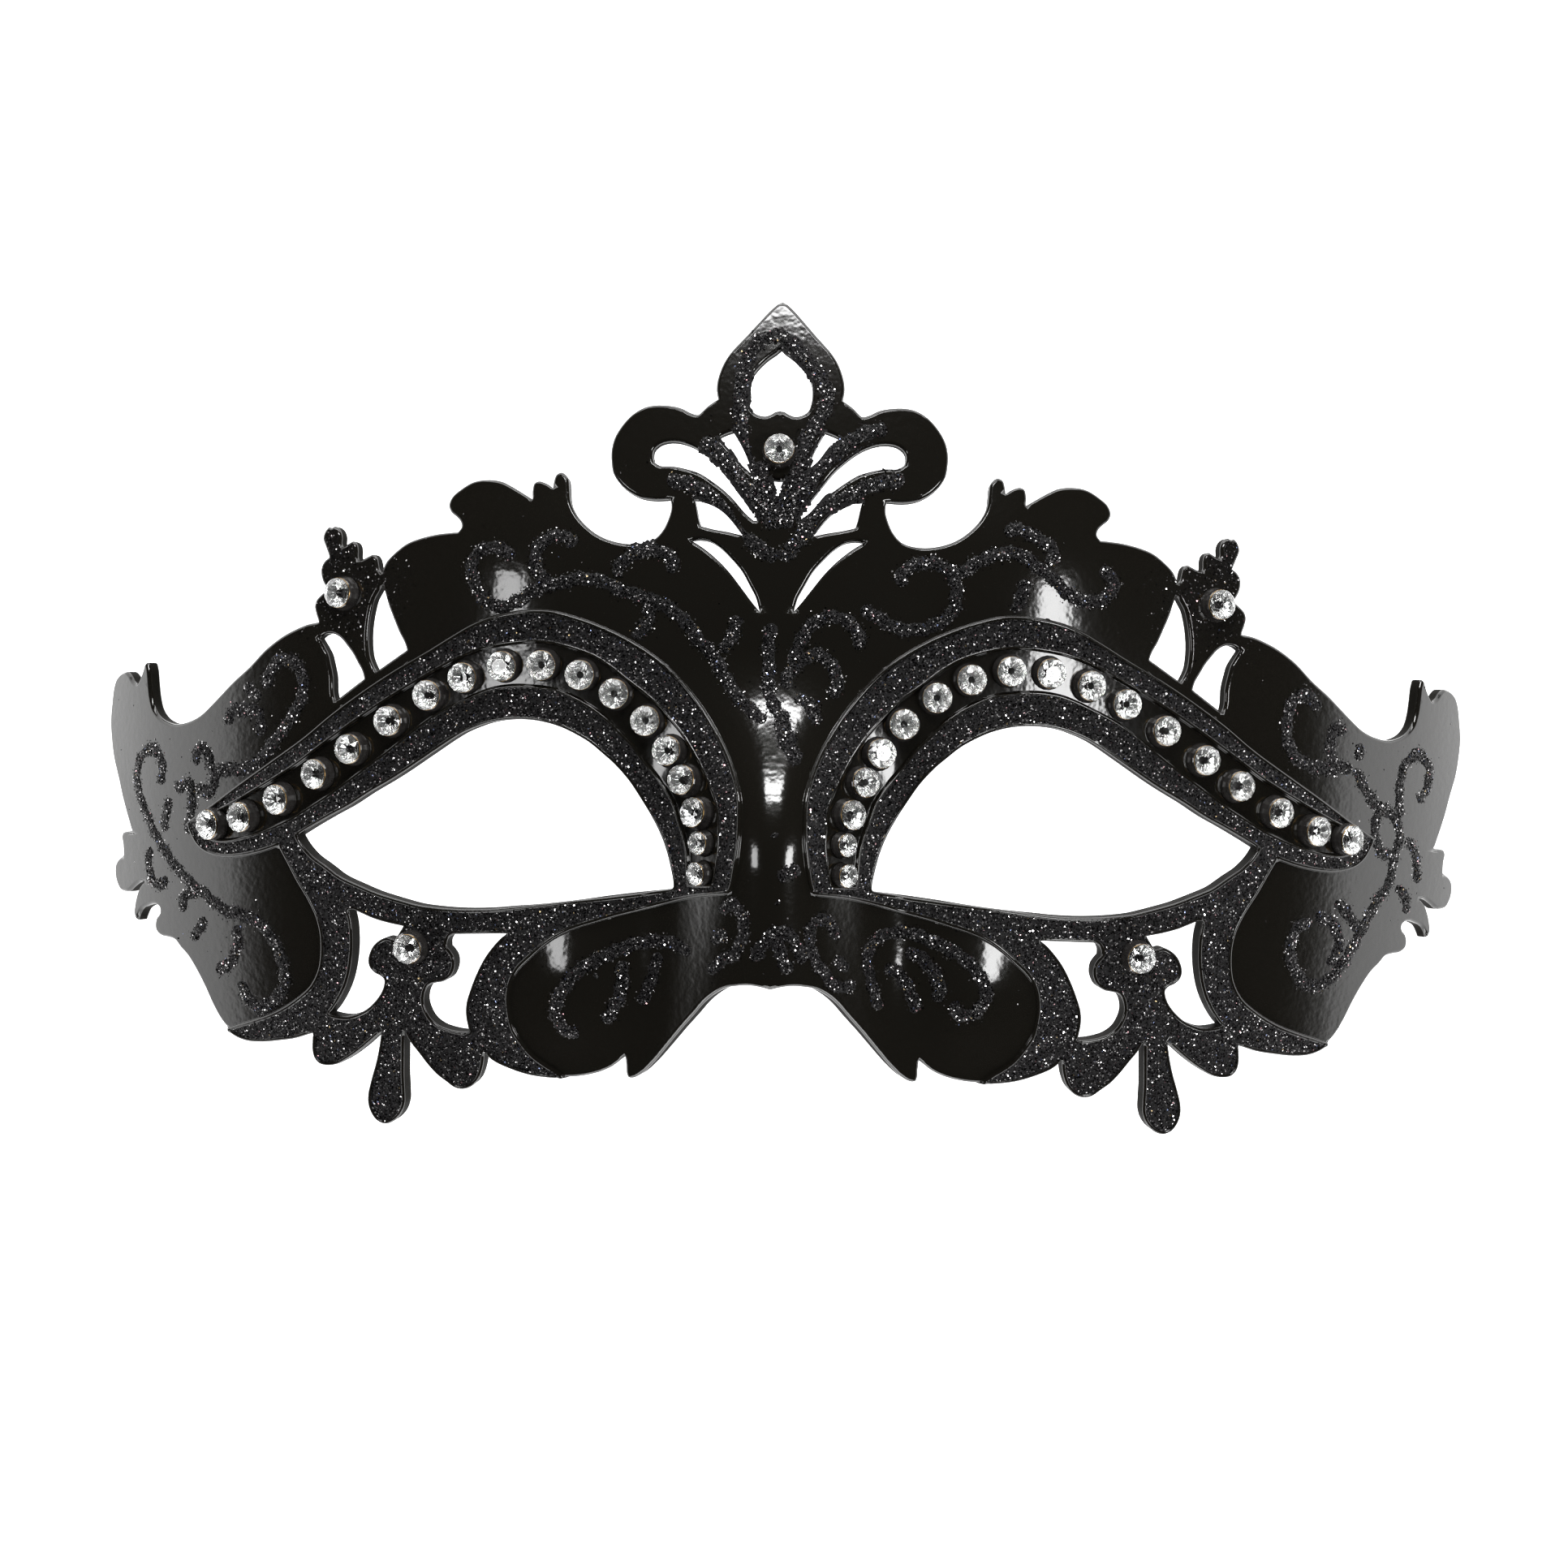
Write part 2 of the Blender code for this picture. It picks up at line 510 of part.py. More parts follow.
def normals(points):
    """Outward normals of the smooth face."""
    step = 1e-5
    across = np.array((step, 0.0))
    upward = np.array((0.0, step))
    slope_x = (form(points + across) - form(points - across)) / (2 * step)
    slope_y = (form(points + upward) - form(points - upward)) / (2 * step)
    result = np.stack((-slope_x, -slope_y, np.ones(len(points))), axis=1)
    return result / np.linalg.norm(result, axis=1, keepdims=True)


def band_level(points):
    """Height of the raised and sunk areas above the smooth face."""
    level = RING_RISE * inside(closed_line(BANDS), points)
    return level - CHANNEL_SINK * inside(closed_line(CHANNEL), points)


# Shell.


def on_face(loops, points):
    """Which points lie on the open face that the loops bound."""
    hit = np.zeros(len(points), dtype=bool)
    for loop in loops:
        hit ^= inside(loop, points)
    return hit


def grid_points(loops, lines):
    """Points over the open face, well clear of every line."""
    rows = []
    for pitch, in_nose in ((GRID_PITCH, False), (NOSE_GRID_PITCH, True)):
        row_pitch = pitch * math.sqrt(0.75)
        for row in range(math.ceil(1.4 * PATTERN_HEIGHT / row_pitch)):
            y = -0.7 * PATTERN_HEIGHT + row * row_pitch
            start = 0.5 * pitch * (1 + row % 2)
            for x in np.arange(start, WRAP_HALF_WIDTH, pitch):
                near_nose = x < NOSE_HALF_WIDTH and y < NOSE_TOP
                if near_nose == in_nose:
                    rows.append((x, y, 0.42 * pitch))
    grid = np.array(rows)
    points, clear = grid[:, :2], grid[:, 2]
    keep = on_face(loops, points)
    points, clear = points[keep], clear[keep]
    keep = np.ones(len(points), dtype=bool)
    for line in (*loops, *lines):
        keep &= distance_to(line, points) > clear
    return points[keep]


def triangulate(loops, extra_lines, points):
    """Triangles of the open face. Loops and extra lines become edges."""
    coords, edges = [], []
    for line in (*loops, *extra_lines):
        first = len(coords)
        coords += [tuple(point) for point in line]
        count = len(line)
        edges += [(first + i, first + (i + 1) % count) for i in range(count)]
    coords += [tuple(point) for point in points]
    verts, _edges, faces, *_rest = delaunay_2d_cdt(coords, edges, [], 0, 1e-7)
    verts = np.array([tuple(vert) for vert in verts])
    middles = np.array([verts[list(face)].mean(axis=0) for face in faces])
    keep = on_face(loops, middles)
    faces = [tuple(face) for face, kept in zip(faces, keep) if kept]
    used = sorted({index for face in faces for index in face})
    place = {index: i for i, index in enumerate(used)}
    return verts[used], [tuple(place[index] for index in face) for face in faces]


def rim_loops(faces):
    """The directed edges that only one triangle has, chained to closed loops."""
    sides = {(face[i], face[(i + 1) % 3]) for face in faces for i in range(3)}
    follow = {a: b for a, b in sides if (b, a) not in sides}
    loops = []
    while follow:
        start, step = follow.popitem()
        loop = [start]
        while step != start:
            loop.append(step)
            step = follow.pop(step)
        loops.append(loop)
    return loops


def shell_mesh():
    """The shell as one closed mesh, before its resting flats are cut."""
    loops = [closed_line(OUTLINE)]
    loops += [closed_line(runs) for runs in OPENINGS.values()]
    steps = []
    for runs in (BANDS, CHANNEL):
        middle = closed_line(runs)
        steps += [offset_line(middle, STEP_WIDTH / 2), offset_line(middle, -STEP_WIDTH / 2)]
    front, front_faces = triangulate(loops, steps, grid_points(loops, steps))
    rims = rim_loops(front_faces)
    rim_lines = [front[loop] for loop in rims]
    back, back_faces = triangulate(rim_lines, [], grid_points(rim_lines, []))

    front_3d = np.column_stack((front, form(front))) + normals(front) * band_level(front)[:, None]
    back_3d = np.column_stack((back, form(back))) - normals(back) * WALL
    front_3d[np.abs(front[:, 0]) < 1e-7, 0] = 0.0
    back_3d[np.abs(back[:, 0]) < 1e-7, 0] = 0.0

    mesh = bmesh.new()
    for side in (1, -1):
        turn = np.array((side, 1, 1))
        front_verts = [mesh.verts.new(point * turn) for point in front_3d]
        back_verts = [mesh.verts.new(point * turn) for point in back_3d]
        for verts, faces, flip in ((front_verts, front_faces, side < 0), (back_verts, back_faces, side > 0)):
            for face in faces:
                order = face[::-1] if flip else face
                mesh.faces.new([verts[index] for index in order])
        twin = {tuple(np.round(point, 9)): index for index, point in enumerate(back)}
        for loop in rims:
            for a, b in zip(loop, loop[1:] + loop[:1]):
                if abs(front[a][0]) < 1e-7 and abs(front[b][0]) < 1e-7:
                    continue
                back_a = back_verts[twin[tuple(np.round(front[a], 9))]]
                back_b = back_verts[twin[tuple(np.round(front[b], 9))]]
                corners = (front_verts[b], front_verts[a], back_a, back_b)
                first = corners[::-1] if side < 0 else corners
                mesh.faces.new((first[0], first[1], first[2]))
                mesh.faces.new((first[0], first[2], first[3]))
    bmesh.ops.remove_doubles(mesh, verts=mesh.verts, dist=1e-7)
    return mesh


def cut_flats(mesh):
    """Lifts the shell so that the floor lies at zero and trims the lowest edges flat."""
    lowest = min(vert.co.z for vert in mesh.verts)
    bmesh.ops.translate(mesh, verts=mesh.verts, vec=(0.0, 0.0, -lowest - FOOT_FLAT))
    everything = [*mesh.verts, *mesh.edges, *mesh.faces]
    cut = bmesh.ops.bisect_plane(
        mesh, geom=everything, dist=1e-6, plane_co=(0, 0, 0), plane_no=(0, 0, 1), clear_inner=True
    )
    rim = [item for item in cut["geom_cut"] if isinstance(item, bmesh.types.BMEdge)]
    bmesh.ops.holes_fill(mesh, edges=rim, sides=0)
    bmesh.ops.triangulate(mesh, faces=[face for face in mesh.faces if len(face.verts) > 3])
    bmesh.ops.recalc_face_normals(mesh, faces=mesh.faces)
    return -lowest - FOOT_FLAT


# Stones.


def stone_mesh(out, up, width, side, lift):
    """One cut stone, standing on its seat."""
    flat = plan(out, up)[None, :]
    normal = normals(flat)[0]
    seat = np.array((*flat[0], form(flat)[0] + lift))
    seat += normal * (band_level(flat)[0] + STONE_GAP)
    turn = np.array((side, 1, 1))
    normal, seat = normal * turn, seat * turn
    across = np.cross((0.0, 1.0, 0.0), normal)
    across /= np.linalg.norm(across)
    upward = np.cross(normal, across)
    mesh = bmesh.new()
    rings = []
    for _name, radius, height in STONE_RINGS:
        ring = []
        for step in range(STONE_SIDES):
            angle = 2 * math.pi * (step + 0.5) / STONE_SIDES
            reach = radius * width / 2
            point = seat + normal * height * width
            point = point + across * reach * math.cos(angle) + upward * reach * math.sin(angle)
            ring.append(mesh.verts.new(point))
        rings.append(ring)
    for lower, upper in zip(rings, rings[1:]):
        for i in range(STONE_SIDES):
            k = (i + 1) % STONE_SIDES
            mesh.faces.new((lower[i], lower[k], upper[k], upper[i]))
    mesh.faces.new(rings[0][::-1])
    mesh.faces.new(rings[-1])
    return mesh


# Build.


def material(name, colour, roughness, metallic, transmission):
    result = bpy.data.materials.new(name)
    result.use_nodes = True
    shader = result.node_tree.nodes["Principled BSDF"]
    shader.inputs["Base Color"].default_value = (*colour, 1.0)
    shader.inputs["Roughness"].default_value = roughness
    shader.inputs["Metallic"].default_value = metallic
    shader.inputs["Transmission Weight"].default_value = transmission
    result.diffuse_color = (*colour, 1.0)
    return result


def add_object(name, mesh, look):
    data = bpy.data.meshes.new(name)
    mesh.to_mesh(data)
    mesh.free()
    data.materials.append(look)
    bpy.context.scene.collection.objects.link(bpy.data.objects.new(name, data))


def build():
    for item in list(bpy.data.objects):
        bpy.data.objects.remove(item, do_unlink=True)
    plastic, crystal = (material(*row) for row in MATERIALS)
    shell = shell_mesh()
    lift = cut_flats(shell)
    add_object("mask_shell", shell, plastic)
    add_object("stone_crest", stone_mesh(*CREST_STONE, 1, lift), crystal)
    for side, word in ((-1, "left"), (1, "right")):
        add_object(f"stone_leaf_{word}", stone_mesh(*LEAF_STONE, side, lift), crystal)
        add_object(f"stone_floret_{word}", stone_mesh(*FLORET_STONE, side, lift), crystal)
        for number, row in enumerate(EYE_STONES, start=1):
            add_object(f"stone_eye_{word}_{number:02d}", stone_mesh(*row, side, lift), crystal)


build()
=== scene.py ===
"""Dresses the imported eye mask: gloss black moulded shell, glitter beds and scrolls, cut stones in foil cups.

X runs to the right of the face, Y towards the crest, Z out of the face. Metres.
"""

import math

import bmesh
import bpy
import numpy as np
from bpy.props import FloatProperty, FloatVectorProperty, IntProperty, PointerProperty
from mathutils import Matrix, Vector
from mathutils.geometry import delaunay_2d_cdt


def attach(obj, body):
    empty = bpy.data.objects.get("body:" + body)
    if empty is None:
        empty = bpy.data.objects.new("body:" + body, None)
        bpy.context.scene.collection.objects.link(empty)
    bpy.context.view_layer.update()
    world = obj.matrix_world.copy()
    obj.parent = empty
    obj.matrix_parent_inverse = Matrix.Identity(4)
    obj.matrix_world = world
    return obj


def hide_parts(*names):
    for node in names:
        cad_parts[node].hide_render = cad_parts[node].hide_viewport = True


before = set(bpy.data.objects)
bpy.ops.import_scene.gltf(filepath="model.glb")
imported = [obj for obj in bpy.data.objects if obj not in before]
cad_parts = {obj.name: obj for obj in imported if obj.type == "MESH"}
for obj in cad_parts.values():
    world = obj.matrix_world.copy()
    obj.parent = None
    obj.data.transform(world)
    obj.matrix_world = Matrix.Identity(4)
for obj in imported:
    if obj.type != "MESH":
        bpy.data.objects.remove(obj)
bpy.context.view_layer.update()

bl_info = {
    "name": "Venetian eye mask",
    "version": (1, 0, 0),
    "blender": (4, 5, 0),
    "location": "View3D > Sidebar > Eye mask",
    "description": "Shell, glitter and cut stones of a black eye mask",
    "category": "Object",
}

# The flat pattern and the form of the face, as in the part.
PATTERN_WIDTH = 0.104
PATTERN_HEIGHT = 0.104
TEMPLE_SPREAD = 0.027
WRAP_HALF_WIDTH = 0.092
WRAP_DEPTH = 0.074
PROFILE_RADIUS = 0.150
PROFILE_MIDDLE = 0.0
NOSE_RISE = 0.0095
NOSE_HALF_WIDTH = 0.0172
NOSE_FLARE = 0.0035
NOSE_TOP = 0.0085
NOSE_FULL = -0.0210
NOSE_FOOT = -0.0450
CHEEK_SWELL = 0.0022
CHEEK_RADIUS = 0.0130
BROW_SWELL = 0.0016
BROW_RADIUS = 0.0190
WALL = 0.0018
RING_RISE = 0.0004
CHANNEL_SINK = 0.0006
LARGE_STONE = 0.0038
SMALL_STONE = 0.0030
STONE_GAP = 0.0003

# Relief of the moulding, all measured along the surface.
EDGE_RADIUS = 0.00050  # plain front edges
LIP_RADIUS = 0.00025  # lips round the glitter beds
BEAD_RADIUS = 0.00030  # beads between beds and smooth plates
CORD_RADIUS = 0.00025  # beads along the stone channel
BACK_RADIUS = 0.00025  # back edges
BED_LEVEL = 0.00025  # floor of the glitter beds above the smooth plates
RIDGE_TOP = 0.00042  # top of lips and beads above the smooth plates

# How finely the shell is faceted.
CURVE_TOLERANCE = 0.000008
LONGEST_EDGE = 0.0007
GRID_PITCH = 0.0013
BACK_PITCH = 0.0026
CURVE_STEPS = 8

OUTLINE = (
    ("crest side", (
        (0.006, 0.503), (0.014, 0.496), (0.043, 0.464), (0.063, 0.442), (0.072, 0.427), (0.078, 0.409),
        (0.079, 0.396), (0.077, 0.385),
    )),
    ("crest scroll", (
        (0.082, 0.382), (0.090, 0.376), (0.096, 0.370), (0.101, 0.366), (0.110, 0.368), (0.120, 0.373),
        (0.132, 0.376), (0.152, 0.377), (0.167, 0.374), (0.182, 0.365), (0.194, 0.352), (0.203, 0.337),
        (0.207, 0.322), (0.207, 0.307), (0.204, 0.292), (0.196, 0.280), (0.183, 0.269), (0.168, 0.262),
        (0.153, 0.260), (0.133, 0.261),
    )),
    ("bay between crest and brow", (
        (0.132, 0.251), (0.134, 0.241), (0.142, 0.223), (0.154, 0.211), (0.175, 0.206), (0.198, 0.208),
        (0.218, 0.215), (0.235, 0.227), (0.248, 0.242), (0.255, 0.257), (0.257, 0.274), (0.259, 0.286),
        (0.267, 0.293), (0.274, 0.290), (0.277, 0.282), (0.278, 0.274),
    )),
    ("second brow leaf", (
        (0.283, 0.278), (0.295, 0.282), (0.301, 0.279), (0.303, 0.272), (0.303, 0.260),
    )),
    ("brow lobe", (
        (0.316, 0.268), (0.328, 0.275), (0.341, 0.281), (0.358, 0.283), (0.376, 0.280), (0.391, 0.271),
        (0.402, 0.261), (0.406, 0.250), (0.403, 0.242), (0.396, 0.236), (0.391, 0.230), (0.390, 0.224),
        (0.394, 0.218),
    )),
    ("brow shoulder", (
        (0.405, 0.217), (0.420, 0.215), (0.440, 0.210), (0.457, 0.203), (0.472, 0.191), (0.481, 0.181),
        (0.488, 0.166),
    )),
    ("sprig lobe next to the brow", (
        (0.491, 0.172), (0.492, 0.178), (0.494, 0.185), (0.498, 0.189), (0.503, 0.187), (0.510, 0.183),
        (0.516, 0.181),
    )),
    ("sprig inner leaf", (
        (0.517, 0.187), (0.517, 0.195), (0.519, 0.202), (0.523, 0.205), (0.527, 0.203), (0.535, 0.197),
    )),
    ("sprig top leaf", (
        (0.537, 0.201), (0.537, 0.211), (0.540, 0.219), (0.546, 0.223), (0.550, 0.221), (0.553, 0.222),
        (0.558, 0.216), (0.560, 0.207), (0.557, 0.198), (0.554, 0.190), (0.552, 0.185),
    )),
    ("sprig outer leaf", (
        (0.557, 0.181), (0.561, 0.174), (0.562, 0.166), (0.560, 0.156), (0.557, 0.150), (0.554, 0.145),
    )),
    ("sprig lowest leaf", (
        (0.561, 0.139), (0.567, 0.132), (0.569, 0.124), (0.567, 0.114), (0.564, 0.105),
    )),
    ("tab top and spike", (
        (0.578, 0.102), (0.592, 0.096), (0.608, 0.087), (0.628, 0.071), (0.648, 0.049), (0.667, 0.031),
        (0.691, 0.005), (0.707, -0.011), (0.721, -0.019), (0.737, -0.023), (0.747, -0.021), (0.757, -0.015),
        (0.764, -0.005), (0.768, 0.010), (0.770, 0.026), (0.772, 0.045), (0.7745, 0.0525), (0.777, 0.050),
        (0.779, 0.043), (0.782, 0.034), (0.7865, 0.026), (0.791, 0.029), (0.795, 0.036), (0.800, 0.041),
        (0.806, 0.039), (0.812, 0.032), (0.8155, 0.021), (0.8175, 0.003), (0.819, -0.021), (0.817, -0.047),
        (0.814, -0.067), (0.808, -0.091), (0.802, -0.117), (0.790, -0.158),
    )),
    ("tab upper lobe", (
        (0.796, -0.156), (0.801, -0.1565), (0.803, -0.162), (0.8015, -0.173), (0.801, -0.185),
    )),
    ("tab middle lobe", (
        (0.807, -0.190), (0.8105, -0.197), (0.811, -0.209), (0.808, -0.221), (0.803, -0.229), (0.795, -0.230),
        (0.787, -0.223), (0.781, -0.2185), (0.774, -0.216),
    )),
    ("tab barb, outer side", (
        (0.780, -0.224), (0.784, -0.235), (0.786, -0.245), (0.787, -0.255), (0.7855, -0.262), (0.783, -0.265),
    )),
    ("tab barb, inner side", (
        (0.781, -0.258), (0.777, -0.251), (0.770, -0.247), (0.764, -0.245),
    )),
    ("tab lower lobe and foot", (
        (0.759, -0.246), (0.755, -0.250), (0.755, -0.256), (0.759, -0.262), (0.7605, -0.270), (0.759, -0.278),
        (0.753, -0.284), (0.744, -0.286), (0.736, -0.289), (0.729, -0.298), (0.720, -0.308), (0.710, -0.324),
        (0.699, -0.345), (0.689, -0.367), (0.679, -0.385), (0.669, -0.397), (0.657, -0.406), (0.643, -0.411),
        (0.624, -0.412), (0.605, -0.410), (0.585, -0.407), (0.563, -0.400),
    )),
    ("outer petal", (
        (0.5635, -0.410), (0.5635, -0.420), (0.561, -0.430), (0.555, -0.437), (0.545, -0.4395),
        (0.531, -0.437), (0.517, -0.429), (0.501, -0.417), (0.492, -0.409), (0.479, -0.397),
    )),
    ("middle petal", (
        (0.481, -0.412), (0.485, -0.433), (0.491, -0.455), (0.495, -0.473), (0.495, -0.485), (0.491, -0.497),
        (0.484, -0.506), (0.474, -0.510), (0.464, -0.507), (0.4545, -0.497), (0.450, -0.484), (0.450, -0.470),
        (0.451, -0.450), (0.451, -0.426), (0.451, -0.396),
    )),
    ("inner petal", (
        (0.444, -0.408), (0.433, -0.422), (0.423, -0.435), (0.411, -0.448), (0.399, -0.457), (0.389, -0.464),
        (0.379, -0.466), (0.369, -0.463), (0.360, -0.454), (0.355, -0.441), (0.353, -0.429), (0.353, -0.421),
    )),
    ("cheek drop", (
        (0.341, -0.431), (0.321, -0.440), (0.298, -0.447), (0.276, -0.450), (0.251, -0.451), (0.231, -0.449),
        (0.211, -0.444), (0.196, -0.437), (0.181, -0.425),
    )),
    ("nose wing and arch", (
        (0.180, -0.435), (0.1795, -0.445), (0.177, -0.450), (0.171, -0.4505), (0.161, -0.445),
        (0.146, -0.430), (0.129, -0.409), (0.112, -0.388), (0.097, -0.371), (0.085, -0.357), (0.072, -0.346),
        (0.057, -0.338), (0.042, -0.3355), (0.027, -0.335), (0.012, -0.337), (0.000, -0.340),
    )),
    ("middle of the nose", ((0.000, 0.261),)),
    ("side of the window under the crest stone", ((0.009, 0.281), (0.010, 0.287))),
    ("top of that window", ((0.000, 0.286),)),
    ("middle under the heart", ((0.000, 0.372),)),
    ("heart side", (
        (0.005, 0.371), (0.012, 0.367), (0.019, 0.365), (0.028, 0.367), (0.0345, 0.372), (0.038, 0.382),
        (0.039, 0.392), (0.038, 0.405), (0.033, 0.417), (0.025, 0.427), (0.0155, 0.436), (0.0055, 0.443),
        (0.000, 0.448),
    )),
    ("middle of the crest", ((0.000, 0.506),)),
)

# Openings of the left half, in the same columns. The last run ends where the first one starts.

OPENINGS = {
    "crest wedge": (
        ("top", ((0.067, 0.342), (0.056, 0.346))),
        ("inner side", ((0.049, 0.334), (0.041, 0.317), (0.035, 0.302), (0.031, 0.291))),
        ("outer side", ((0.037, 0.297), (0.049, 0.308), (0.061, 0.323), (0.075, 0.338))),
    ),
    "crest slot": (
        ("round end and upper side", (
            (0.154, 0.307), (0.1555, 0.315), (0.154, 0.322), (0.146, 0.329), (0.134, 0.332), (0.121, 0.331),
            (0.106, 0.326), (0.094, 0.319), (0.081, 0.309), (0.068, 0.297), (0.056, 0.282), (0.043, 0.265),
            (0.033, 0.252), (0.025, 0.241),
        )),
        ("tip", ((0.026, 0.237), (0.030, 0.2365))),
        ("lower side", (
            (0.040, 0.245), (0.056, 0.263), (0.068, 0.274), (0.083, 0.285), (0.098, 0.294), (0.116, 0.2995),
            (0.131, 0.302), (0.146, 0.3025), (0.154, 0.307),
        )),
    ),
    "crest side window": (
        ("inner side", (
            (0.093, 0.260), (0.080, 0.255), (0.068, 0.247), (0.058, 0.237), (0.049, 0.2255), (0.043, 0.218),
        )),
        ("bottom", ((0.060, 0.222), (0.078, 0.225), (0.095, 0.229))),
        ("outer side", ((0.098, 0.239), (0.1005, 0.251), (0.103, 0.261))),
    ),
    "brow crescent": (
        ("upper side", (
            (0.095, 0.212), (0.082, 0.2095), (0.070, 0.202), (0.057, 0.1895), (0.044, 0.1745), (0.034, 0.157),
            (0.026, 0.142), (0.021, 0.125),
        )),
        ("lower side", (
            (0.031, 0.137), (0.044, 0.154), (0.059, 0.173), (0.075, 0.189), (0.090, 0.201), (0.101, 0.208),
            (0.107, 0.211),
        )),
    ),
    "window between brow and sprig": (
        ("tip", ((0.488, 0.149), (0.485, 0.1495))),
        ("inner side", (
            (0.482, 0.140), (0.478, 0.126), (0.472, 0.111), (0.464, 0.092), (0.458, 0.081), (0.455, 0.072),
        )),
        ("bottom", ((0.492, 0.045),)),
        ("outer side", (
            (0.495, 0.050), (0.500, 0.062), (0.502, 0.075), (0.5025, 0.090), (0.5015, 0.105), (0.4995, 0.118),
            (0.496, 0.133), (0.4915, 0.142), (0.488, 0.149),
        )),
    ),
    "window between sprig and tab": (
        ("inner side", (
            (0.558, 0.089), (0.552, 0.091), (0.544, 0.090), (0.536, 0.085), (0.528, 0.0755), (0.521, 0.066),
            (0.515, 0.055), (0.5095, 0.045), (0.507, 0.036),
        )),
        ("bottom", ((0.542, 0.008),)),
        ("outer side", (
            (0.5445, 0.018), (0.5455, 0.038), (0.549, 0.055), (0.552, 0.066), (0.5565, 0.0745), (0.563, 0.085),
        )),
    ),
    "eye": (
        ("upper lid", (
            (0.570, -0.149), (0.545, -0.134), (0.520, -0.120), (0.496, -0.104), (0.471, -0.089),
            (0.451, -0.076), (0.431, -0.062), (0.411, -0.048), (0.392, -0.035), (0.381, -0.0285),
            (0.364, -0.021), (0.347, -0.0155), (0.327, -0.0125), (0.304, -0.012), (0.284, -0.0145),
            (0.264, -0.020), (0.247, -0.0275), (0.227, -0.039), (0.211, -0.052), (0.196, -0.065),
            (0.178, -0.085), (0.163, -0.107), (0.150, -0.127), (0.138, -0.149), (0.130, -0.169),
            (0.1245, -0.189), (0.1205, -0.209), (0.121, -0.215), (0.129, -0.2175),
        )),
        ("lower lid", (
            (0.169, -0.2235), (0.219, -0.230), (0.269, -0.236), (0.301, -0.240), (0.338, -0.244),
            (0.354, -0.245), (0.374, -0.2455), (0.394, -0.245), (0.414, -0.2435), (0.434, -0.241),
            (0.454, -0.236), (0.468, -0.232), (0.486, -0.2265), (0.509, -0.217), (0.531, -0.207),
            (0.5495, -0.1935), (0.5655, -0.182), (0.578, -0.168), (0.584, -0.158),
        )),
    ),
    "floret outer window": (
        ("top tip", ((0.513, -0.248),)),
        ("top", ((0.504, -0.252), (0.490, -0.258), (0.473, -0.263), (0.453, -0.267))),
        ("stem", ((0.459, -0.277), (0.463, -0.284))),
        ("lobe and lower edge", (
            (0.473, -0.281), (0.481, -0.284), (0.489, -0.291), (0.494, -0.301), (0.4955, -0.311),
            (0.493, -0.319), (0.487, -0.325), (0.480, -0.3285), (0.476, -0.333), (0.476, -0.339),
            (0.479, -0.348), (0.484, -0.356), (0.490, -0.363), (0.498, -0.370), (0.510, -0.376),
            (0.522, -0.379), (0.534, -0.378), (0.543, -0.376),
        )),
        ("outer side", (
            (0.538, -0.370), (0.529, -0.355), (0.5215, -0.337), (0.517, -0.317), (0.515, -0.297),
            (0.515, -0.279), (0.5165, -0.263), (0.520, -0.248),
        )),
    ),
    "floret inner window": (
        ("top", ((0.326, -0.2745),)),
        ("cheek side", (
            (0.333, -0.280), (0.343, -0.291), (0.353, -0.305), (0.363, -0.325), (0.370, -0.343),
            (0.375, -0.360), (0.3755, -0.375), (0.373, -0.388), (0.371, -0.396),
        )),
        ("lower edge and lobe", (
            (0.384, -0.395), (0.396, -0.3925), (0.408, -0.388), (0.418, -0.380), (0.424, -0.370),
            (0.427, -0.360), (0.4265, -0.350), (0.4235, -0.342), (0.4195, -0.338), (0.4125, -0.336),
            (0.403, -0.334), (0.395, -0.3285), (0.3905, -0.319), (0.3895, -0.311), (0.391, -0.303),
            (0.395, -0.2965), (0.399, -0.292),
        )),
        ("stem", ((0.399, -0.285), (0.396, -0.279), (0.391, -0.276))),
    ),
}

BANDS = (
    ("start", ((0.718, -0.145),)),
    ("upper border of the eye ring", (
        (0.688, -0.123), (0.653, -0.096), (0.616, -0.069), (0.577, -0.040), (0.542, -0.010), (0.505, 0.018),
        (0.465, 0.045), (0.423, 0.070), (0.398, 0.086), (0.373, 0.101), (0.349, 0.111), (0.324, 0.117),
        (0.299, 0.120), (0.274, 0.119), (0.249, 0.113), (0.223, 0.1045), (0.183, 0.0865), (0.143, 0.061),
        (0.107, 0.026), (0.077, -0.016), (0.054, -0.061), (0.041, -0.1055), (0.040, -0.131),
        (0.0405, -0.156), (0.047, -0.206), (0.051, -0.220),
    )),
    ("edge of the cheek drop", (
        (0.070, -0.2215), (0.094, -0.2245), (0.119, -0.2295), (0.144, -0.236), (0.169, -0.2425),
        (0.194, -0.249), (0.219, -0.257), (0.238, -0.263), (0.253, -0.269), (0.268, -0.277), (0.283, -0.288),
        (0.298, -0.302), (0.313, -0.317), (0.3215, -0.334), (0.3245, -0.354), (0.3225, -0.374),
        (0.318, -0.392), (0.307, -0.409), (0.294, -0.424), (0.279, -0.435), (0.264, -0.4445), (0.248, -0.459),
    )),
    ("beyond the lower edge", ((0.300, -0.560), (0.690, -0.560), (0.700, -0.412))),
    ("edge of the tab plate, lower", (
        (0.659, -0.395), (0.634, -0.387), (0.607, -0.376), (0.582, -0.360), (0.5645, -0.343),
        (0.555, -0.323), (0.552, -0.3025), (0.553, -0.2775), (0.558, -0.2575), (0.568, -0.236),
        (0.583, -0.211), (0.594, -0.190), (0.606, -0.168),
    )),
    ("edge of the tab plate, upper", (
        (0.632, -0.177), (0.655, -0.182), (0.676, -0.183), (0.696, -0.1775), (0.707, -0.1675),
        (0.715, -0.152), (0.718, -0.145),
    )),
)

